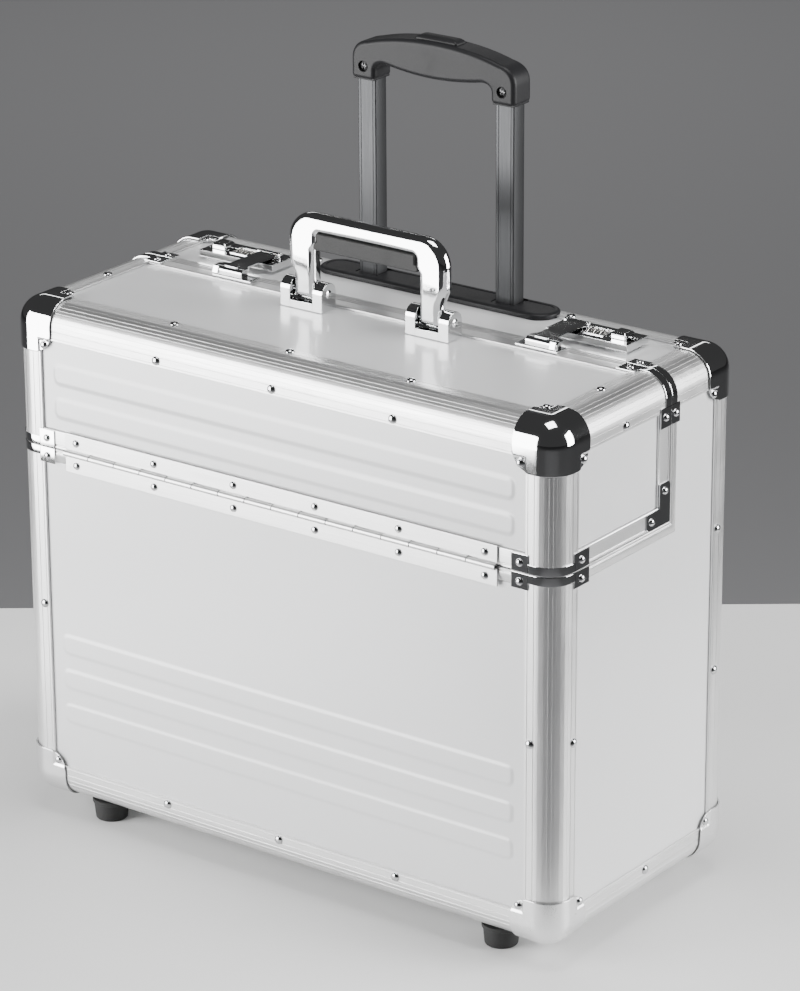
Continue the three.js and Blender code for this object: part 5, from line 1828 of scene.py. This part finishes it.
@dataclass
class Trolley:
    """The telescopic handle: bezel, tubes, grip with its screws, and release button."""

    bench: Bench
    tube_round: float = 0.9 * MM
    bezel_round: float = 14 * MM
    line: float = 0.25 * MM  # half the width and the depth of the line down a tube
    line_inset: float = 2.6 * MM
    leg: float = 20 * MM
    screw_rise: float = 9.5 * MM
    screw_radius: float = 3.4 * MM
    play: float = 0.3 * MM  # round a tube in the bezel and round the button
    steps: int = 4

    def marked(self, outline: Sequence[Point2], low: Vector, high: Vector, depth: float) -> list[Point2]:
        """A tube's outline with two fine lines across each broad face.

        Args:
            outline: The plain outline.
            low: The tube's lowest corner.
            high: Its highest corner.
            depth: The lines' depth, or 0 for the bore, which only needs the points.

        Returns:
            The outline.
        """
        points: list[Point2] = []
        for at, (x, y) in enumerate(outline):
            points.append((x, y))
            if at in (self.steps * 2 + 1, self.steps * 4 + 3):
                way = -1 if y > (low.y + high.y) / 2 else 1
                for u in (low.x + self.line_inset, high.x - self.line_inset)[::way]:
                    points += [(u - way * self.line, y), (u, y + way * depth), (u + way * self.line, y)]
        return points

    def tube(self, node: str, body: str, hole: Point2) -> None:
        """Makes one hollow tube with rounded corners and fine lines down each broad face.

        Args:
            node: The frame's node that it stands for.
            body: Its body.
            hole: The hole's size in X and Y.
        """
        low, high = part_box(node)
        centre = (low + high) / 2
        outer = self.marked(inset_outline(low, high, (0, 0), self.tube_round, self.steps), low, high,
                            self.line)
        half_x, half_y = hole[0] / 2, hole[1] / 2
        inner = rounded_rectangle((centre.x - half_x, centre.y - half_y),
                                  (centre.x + half_x, centre.y + half_y),
                                  self.tube_round * 0.6, self.steps)
        inner = self.marked(inner, low, high, 0.0)
        form = Form().layers([(outer, low.z), (outer, high.z), (inner, high.z), (inner, low.z)], loop=True)
        obj = form.build(f"{node}_sleeve")
        shade(obj, 30.0)
        grained(obj, Axis.Z)
        self.bench.fit(obj, TUBE_METAL, body, node)

    def tubes(self) -> None:
        """Makes the four tubes."""
        for word in SIDES:
            low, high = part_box(f"upper_tube_{word}")
            size = high - low
            play = 0.6 * MM
            self.tube(f"middle_tube_{word}", "trolley_middle", (size.x + play, size.y + play))
            self.tube(f"upper_tube_{word}", "trolley_handle", (size.x - 2.8 * MM, size.y - 2.8 * MM))

    def bezel(self) -> None:
        """Makes the black surround that the tubes come out of."""
        low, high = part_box("trolley_bezel")
        stack = ((0.0, 4.1), (0.0, 1.7), (0.5, 0.9), (1.5, 0.3), (2.8, 0.0), (4.2, 0.0), (4.6, 0.5))
        layers = []
        for inset, drop in ((a * MM, b * MM) for a, b in stack):
            outline = inset_outline(low, high, (inset, inset), self.bezel_round - inset, 10)
            layers.append((outline, max(high.z - drop, low.z)))
        obj = Form().layers(layers).build("trolley_bezel_surround")
        tools = []
        for word in SIDES:
            tube_low, tube_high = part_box(f"middle_tube_{word}")
            hole = inset_outline(tube_low, tube_high, (-self.play, -self.play), self.tube_round, 4)
            tools.append(Form().prism(hole, Axis.Z, (low.z - MM, high.z + MM)).build("hole"))
        carve(obj, tools, "DIFFERENCE")
        break_edges(obj, Rounding(0.3 * MM, 2, 60.0))
        self.bench.fit(obj, BLACK_PLASTIC, "case", "trolley_bezel")

    def grip_outline(self, low: Vector, high: Vector) -> list[Point2]:
        """The grip's outline as (x, z): two legs, an arched top and a belly under its middle."""
        half, floor = high.x, low.z
        rise = high.z - low.z
        shoulder, inner = rise - 9 * MM, half - self.leg
        right = [(half, floor), (half, floor + shoulder - 12 * MM)]
        right += quadratic(right[-1], (half, floor + shoulder), (half - 14 * MM, floor + shoulder + 2 * MM),
                           10)
        right += quadratic(right[-1], (half * 0.45, high.z), (0.0, high.z), 14)
        belly = [(inner, floor), (inner, floor + 7 * MM)]
        belly += quadratic(belly[-1], (inner, floor + 13 * MM), (inner - 8 * MM, floor + 13 * MM), 8)
        belly += quadratic(belly[-1], (inner * 0.4, floor + 9 * MM), (0.0, floor + 9 * MM), 8)
        left_top = [(-x, z) for x, z in reversed(right[:-1])]
        left_belly = [(-x, z) for x, z in belly[:-1]]
        return right + left_top + left_belly + list(reversed(belly))

    def grip(self) -> None:
        """Makes the grip with its well for the button and its two screws."""
        low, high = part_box("trolley_grip")
        form = Form().prism(self.grip_outline(low, high), Axis.Y, (low.y, high.y))
        obj = form.build("trolley_grip_handle")
        button_low, button_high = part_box("trolley_button")
        outline = inset_outline(button_low, button_high, (-self.play, -self.play), 1.6 * MM, 4)
        well = Form().prism(outline, Axis.Z, (button_low.z - 5 * MM, high.z + 5 * MM))
        tools = [well.build("well")]
        for side in SIDES.values():
            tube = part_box("upper_tube_right")
            x = side * (tube[0].x + tube[1].x) / 2
            z = low.z + self.screw_rise
            sink = [(0, low.y - MM), (self.screw_radius + 0.9 * MM, low.y - MM),
                    (self.screw_radius + 0.3 * MM, low.y + 2 * MM), (0, low.y + 2 * MM)]
            tools.append(Form().turned(sink, Axis.Y, (x, 0.0, z), 32).build("sink"))
        break_edges(obj, Rounding(3.4 * MM, 5, 50.0))
        carve(obj, tools, "DIFFERENCE")
        break_edges(obj, None)
        self.bench.fit(obj, BLACK_PLASTIC, "trolley_handle", "trolley_grip")
        self.screws(low)
        seam = Form()
        for side in SIDES.values():
            xs = sorted((side * (high.x - 1.2 * MM), side * (high.x - self.leg + 1.2 * MM)))
            seam.box((xs[0], low.y + 1.2 * MM, low.z - 0.2 * MM),
                     (xs[1], high.y - 1.2 * MM, low.z + 1.5 * MM))
        self.bench.make(seam, "trolley_grip_collars", BLACK_PLASTIC, "trolley_handle",
                        rounding=Rounding(0.4 * MM))

    def screws(self, low: Vector) -> None:
        """Makes the cross-recess screws in the grip's legs."""
        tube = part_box("upper_tube_right")
        for word, side in SIDES.items():
            x, z = side * (tube[0].x + tube[1].x) / 2, low.z + self.screw_rise
            radius, face = self.screw_radius, low.y + 0.5 * MM
            profile = [(0, face), (radius * 0.6, face + 0.15 * MM), (radius, face + 0.9 * MM),
                       (radius, face + 3 * MM),
                       (0, face + 3 * MM)]
            obj = Form().turned(profile, Axis.Y, (x, 0.0, z), 32).build(f"grip_screw_{word}")
            tools = []
            for long, wide in ((radius * 0.68, 0.55 * MM), (0.55 * MM, radius * 0.68)):
                bar = Form().box((x - long, face - MM, z - wide), (x + long, face + 1.3 * MM, z + wide))
                tools.append(bar.build("recess"))
            carve(obj, tools, "DIFFERENCE")
            break_edges(obj, None)
            self.bench.fit(obj, DARK_SCREW_AND_PAINTED_GAP_SHADE, "trolley_handle")

    def button(self) -> None:
        """Makes the crowned release button."""
        low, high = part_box("trolley_button")
        middle = (low + high) / 2
        rings = []
        for inset, z in ((0.0, low.z), (0.0, high.z - 2.6 * MM), (0.5 * MM, high.z - 1.4 * MM),
                         (1.6 * MM, high.z - 0.6 * MM), (3.2 * MM, high.z - 0.15 * MM), (5.0 * MM, high.z)):
            outline = inset_outline(low, high, (inset * 1.5, inset), max(2 * MM - inset * 0.2, 0.8 * MM), 5)
            sag = 1.1 * MM if z > low.z else 0.0
            rings.append([Vector((x, y, z - sag * ((x - middle.x) / (high.x - middle.x)) ** 2)) for x,
                          y in outline])
        obj = Form().skin(rings).build("trolley_button_key")
        break_edges(obj, None)
        self.bench.fit(obj, BLACK_PLASTIC, "trolley_release", "trolley_button")

    def build(self) -> None:
        """Makes the trolley."""
        self.tubes()
        self.bezel()
        self.grip()
        self.button()
        self.bench.dress(HINGE_STEEL, "trolley_guide_frame")


# Running gear ------------------------------------------------------------------------------------


@dataclass
class RunningGear:
    """The rear wheels in their housings, and the front feet."""

    shell: Shell
    bench: Bench
    ribs: Repeater
    axle: float = 3 * MM
    play: float = 0.3 * MM
    hub: float = 8 * MM
    rim: float = 15.5 * MM
    dish: float = 2.2 * MM
    housing_wall: float = 3 * MM
    flange: float = 5 * MM
    flange_over: float = 7 * MM
    spokes: int = 10

    def envelope(self, margin: float, name: str) -> bpy.types.Object:
        """The shell's rounded outer form, grown by a margin."""
        radius, steps = self.shell.rounding + margin, 10
        low, high = self.shell.low - Vector([margin] * 3), self.shell.high + Vector([margin] * 3)
        layers = []
        for z, inset in self.corner_profile(low.z, high.z, radius, steps):
            layers.append((inset_outline(low, high, (inset, inset), max(radius - inset, 0.01 * MM), steps),
                           z))
        return Form().layers(layers).build(name)

    @staticmethod
    def corner_profile(floor: float, top: float, radius: float, steps: int) -> list[Point2]:
        """Heights and insets of the rings of a rounded box."""
        turns = [math.radians(a) for a in spread(0, 90, steps)]
        lower = [(floor + radius * (1 - math.sin(t)), radius * (1 - math.cos(t))) for t in reversed(turns)]
        upper = [(top - radius * (1 - math.sin(t)), radius * (1 - math.cos(t))) for t in turns]
        return lower + upper

    def housing(self, word: str) -> None:
        """Makes one wheel housing: a box let into the corner rail, with a flange over the shell."""
        node = f"wheel_housing_{word}"
        low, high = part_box(node)
        wheel_low, wheel_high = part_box(f"wheel_{word}")
        middle = (wheel_low.x + wheel_high.x) / 2
        half = (wheel_high.x - wheel_low.x) / 2 + 2 * MM + self.housing_wall
        front, top = wheel_low.y - 6 * MM, wheel_high.z + 6 * MM
        far = high.y + 20 * MM
        block = self.envelope(1.6 * MM, "housing_block")
        room = Form().box((middle - half, front, low.z - 20 * MM), (middle + half, far, top)).build("room")
        carve(block, [room], "INTERSECT")
        flange = self.envelope(1.6 * MM, f"{node}_shell")
        over = Form().box((middle - half - self.flange, front - self.flange_over, low.z - 20 * MM),
                          (middle + half + self.flange, far, top + self.flange_over)).build("over")
        carve(flange, [over], "INTERSECT")
        carve(flange, [self.envelope(0.3 * MM, "within")], "DIFFERENCE")
        joined = flange.modifiers.new("joined", "BOOLEAN")
        joined.operation, joined.solver, joined.object = "UNION", "EXACT", block
        settle_mesh(flange)
        bpy.data.objects.remove(block)
        inner = half - self.housing_wall
        cavity = Form().box((middle - inner, front + self.housing_wall, low.z - 20 * MM),
                            (middle + inner, far, top - self.housing_wall)).build("cavity")
        carve(flange, [cavity], "DIFFERENCE")
        break_edges(flange, Rounding(0.4 * MM, 2, 60.0))
        self.bench.fit(flange, BLACK_PLASTIC, "case", node)
        centre = (0.0, (wheel_low.y + wheel_high.y) / 2, (wheel_low.z + wheel_high.z) / 2)
        ends = (middle - inner - 0.2 * MM, middle + inner + 0.2 * MM)
        rod = Form().rod(Axis.X, centre, self.axle, ends, 28)
        self.bench.make(rod, f"wheel_axle_{word}", HINGE_STEEL, "case")

    def wheel(self, word: str) -> None:
        """Makes one wheel: a crowned tyre with tread lines on a spoked hub."""
        node = f"wheel_{word}"
        low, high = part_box(node)
        centre = (low + high) / 2
        radius, half = (high.z - low.z) / 2, (high.x - low.x) / 2
        crown = [(self.rim, half), (self.rim + 0.8 * MM, half), (radius - 3.2 * MM, half),
                 (radius - 1.3 * MM, half - 1.0 * MM),
                 (radius - 0.3 * MM, half - 2.8 * MM), (radius - 0.05 * MM, half - 4.4 * MM),
                 (radius - 0.9 * MM, half - 4.8 * MM),
                 (radius - 0.9 * MM, half - 5.4 * MM), (radius, half - 5.8 * MM)]
        tyre = [(r, -h) for r, h in crown] + list(reversed(crown))
        self.bench.make(Form().turned(tyre, Axis.X, tuple(centre), 72, loop=True), f"{node}_tyre", RUBBER,
                        node, node)
        bore, web = self.axle + self.play, half - self.dish
        side = [(bore, half), (self.hub - 1 * MM, half), (self.hub, half - 0.6 * MM),
                (self.hub, web - 1.4 * MM),
                (self.rim - 1.6 * MM, web - 1.4 * MM), (self.rim - 1.4 * MM, half - 0.5 * MM),
                (self.rim + 0.1 * MM, half - 0.4 * MM)]
        hub = [(r, -h) for r, h in side] + list(reversed(side))
        obj = Form().turned(hub, Axis.X, tuple(centre), 60, loop=True).build(f"{node}_hub")
        self.ribs.run(obj, {
            "Centre": tuple(centre), "Radius": (self.hub + self.rim) / 2 - 0.6 * MM, "Count": self.spokes,
            "Rib": (2 * (half - 1.0 * MM), 1.6 * MM, self.rim - self.hub - 0.6 * MM),
            "Material": self.bench.material(BLACK_PLASTIC)})
        shade(obj)
        self.bench.fit(obj, BLACK_PLASTIC, node)

    def foot(self, word: str) -> None:
        """Makes one tapered foot with a recess for its screw."""
        node = f"foot_{word}"
        low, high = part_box(node)
        centre = ((low.x + high.x) / 2, (low.y + high.y) / 2, 0.0)
        wide = (high.x - low.x) / 2 - 1.4 * MM
        narrow, lip = wide - 2 * MM, 1.1 * MM
        edge = [(narrow - lip + x, low.z + lip + y) for x, y in arc((0, 0), lip, -90, -10, 5)]
        profile = [(0, low.z + 4 * MM), (3.4 * MM, low.z + 4 * MM), (4.2 * MM, low.z), *edge,
                   (wide - 0.9 * MM, high.z - 3.4 * MM), (wide - 0.1 * MM, high.z - 2.9 * MM),
                   (wide, high.z - 2.4 * MM),
                   (wide, high.z), (0, high.z)]
        self.bench.make(Form().turned(profile, Axis.Z, centre, 56), f"{node}_pad", RUBBER, "case", node,
                        rounding=None)
        head = [(0, low.z + 2.4 * MM), (1.6 * MM, low.z + 2.6 * MM), (3 * MM, low.z + 4.2 * MM),
                (0, low.z + 4.2 * MM)]
        self.bench.make(Form().turned(head, Axis.Z, centre, 28), f"{node}_screw", RIVET_METAL, "case")

    def build(self) -> None:
        """Makes the wheels, housings and feet."""
        for word in SIDES:
            self.housing(word)
            self.wheel(word)
            self.foot(word)


# Studio ------------------------------------------------------------------------------------------


@dataclass
class Studio:
    """A pale table in front of a grey room, three soft lights and the camera."""

    azimuth: float = 36.624
    elevation: float = 20.807
    roll: float = -0.315
    distance: float = 2.9766
    target: Triple = (0.026, 0.0, 0.2651)
    lens: float = 156.92
    table_reach: float = 0.446  # from the target to the table's far edge
    table_front: float = 0.30  # from the target to its near edge
    table_half: float = 0.66

    def direction(self, azimuth: float, elevation: float) -> Vector:
        """The unit vector from the target towards a place round it."""
        a, e = math.radians(azimuth), math.radians(elevation)
        return Vector((math.sin(a) * math.cos(e), -math.cos(a) * math.cos(e), math.sin(e)))

    def plain(self, name: str, color: Triple, roughness: float) -> bpy.types.Material:
        """A plain material for the surroundings."""
        made = bpy.data.materials.new(name)
        made.use_nodes = True
        shader = made.node_tree.nodes["Principled BSDF"]
        shader.inputs["Base Color"].default_value = (*color, 1)
        shader.inputs["Roughness"].default_value = roughness
        return made

    def sheet(self, name: str, corners: Sequence[Triple], material: bpy.types.Material) -> None:
        """A flat part of the surroundings."""
        mesh = bpy.data.meshes.new(name)
        mesh.from_pydata(corners, [], [list(range(len(corners)))])
        mesh.materials.append(material)
        obj = bpy.data.objects.new(name, mesh)
        bpy.context.scene.collection.objects.link(obj)

    def surroundings(self) -> None:
        """Makes the table, the room's floor and the air's own grey light."""
        away = self.direction(self.azimuth, 0.0) * -1
        beside = Vector((-away.y, away.x, 0.0))
        target = Vector((*self.target[:2], 0.0))
        far, near, half = away * self.table_reach, away * -self.table_front, beside * self.table_half
        corners = [target + far - half, target + far + half, target + near + half, target + near - half]
        self.sheet("table", [tuple(c) for c in corners], self.plain("pale_table", (0.86, 0.86, 0.855), 0.5))
        size, drop = 30.0, -0.7
        square = [(-size, -size, drop), (size, -size, drop), (size, size, drop), (-size, size, drop)]
        self.sheet("room_floor", square, self.plain("grey_room", (0.30, 0.30, 0.308), 0.9))
        world = bpy.data.worlds.new("studio_air")
        world.use_nodes = True
        world.node_tree.nodes["Background"].inputs["Color"].default_value = (0.5, 0.5, 0.51, 1)
        world.node_tree.nodes["Background"].inputs["Strength"].default_value = 0.09
        bpy.context.scene.world = world

    def light(self, name: str, azimuth: float, elevation: float, distance: float, size: Point2, power: float,
              aim: Triple | None = None) -> None:
        """A soft rectangular light.

        Args:
            name: Its name.
            azimuth: Which way it stands, as for the camera.
            elevation: How high it stands, in degrees.
            distance: How far it stands from the case.
            size: Its width and height.
            power: Its power in watts.
            aim: The place that it faces, when that isn't the case.
        """
        data = bpy.data.lights.new(name, "AREA")
        data.shape, data.size, data.size_y, data.energy = "RECTANGLE", size[0], size[1], power
        obj = bpy.data.objects.new(name, data)
        way = self.direction(azimuth, elevation)
        obj.location = Vector(self.target) + way * distance
        facing = Vector(aim) - obj.location if aim else -way
        obj.rotation_mode = "QUATERNION"
        obj.rotation_quaternion = facing.to_track_quat("-Z", "Y")
        obj.visible_camera = False
        bpy.context.scene.collection.objects.link(obj)

    def camera(self) -> None:
        """Sets the camera."""
        data = bpy.data.cameras.new("camera")
        data.lens, data.sensor_width, data.clip_end = self.lens, 36.0, 50.0
        obj = bpy.data.objects.new("camera", data)
        back = self.direction(self.azimuth, self.elevation)
        obj.location = Vector(self.target) + back * self.distance
        obj.rotation_mode = "QUATERNION"
        level = (-back).to_track_quat("-Z", "Y")
        turn = math.radians(self.roll) / 2
        obj.rotation_quaternion = level @ Quaternion((math.cos(turn), 0.0, 0.0, math.sin(turn)))
        bpy.context.scene.collection.objects.link(obj)
        bpy.context.scene.camera = obj

    def build(self) -> None:
        """Makes the surroundings, the lights and the camera."""
        self.surroundings()
        self.light("front_light", -38, 5, 1.9, (1.4, 1.6), 90)
        self.light("side_light", 116, 13, 1.9, (1.1, 1.3), 72)
        self.light("top_light", 60, 84, 1.8, (0.9, 0.9), 22)
        far = self.direction(self.azimuth, 0.0) * -5.4
        self.light("room_light", 216.6, 24, 5.3, (3.0, 1.4), 54, (far.x, far.y, -0.7))
        self.camera()


def main() -> None:
    """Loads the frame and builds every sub-assembly round it."""
    logging.basicConfig(level=logging.INFO, format="%(message)s")
    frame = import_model()
    shell = Shell.from_frame()
    bench = Bench(frame["nodes"])
    ribs, extrude = ring_repeater(), extruding_repeater()
    cap, plates = CornerCap(shell, bench), SplitPlates(shell, bench)
    EdgeRail(shell, bench, extrude).build()
    PartingRims(shell, bench).build()
    PressedPanel(bench).build()
    cap.build()
    plates.build()
    Rivets(shell, bench, rivet_repeater()).build(cap, plates)
    PianoHinge(bench, knuckle_repeater()).build()
    Lining(shell, bench).build()
    CarryHandle(bench).build()
    for word, side in SIDES.items():
        Lock(bench, ribs, side, word).build()
    Trolley(bench).build()
    RunningGear(shell, bench, ribs).build()
    Studio().build()


if __name__ == "__main__":
    main()
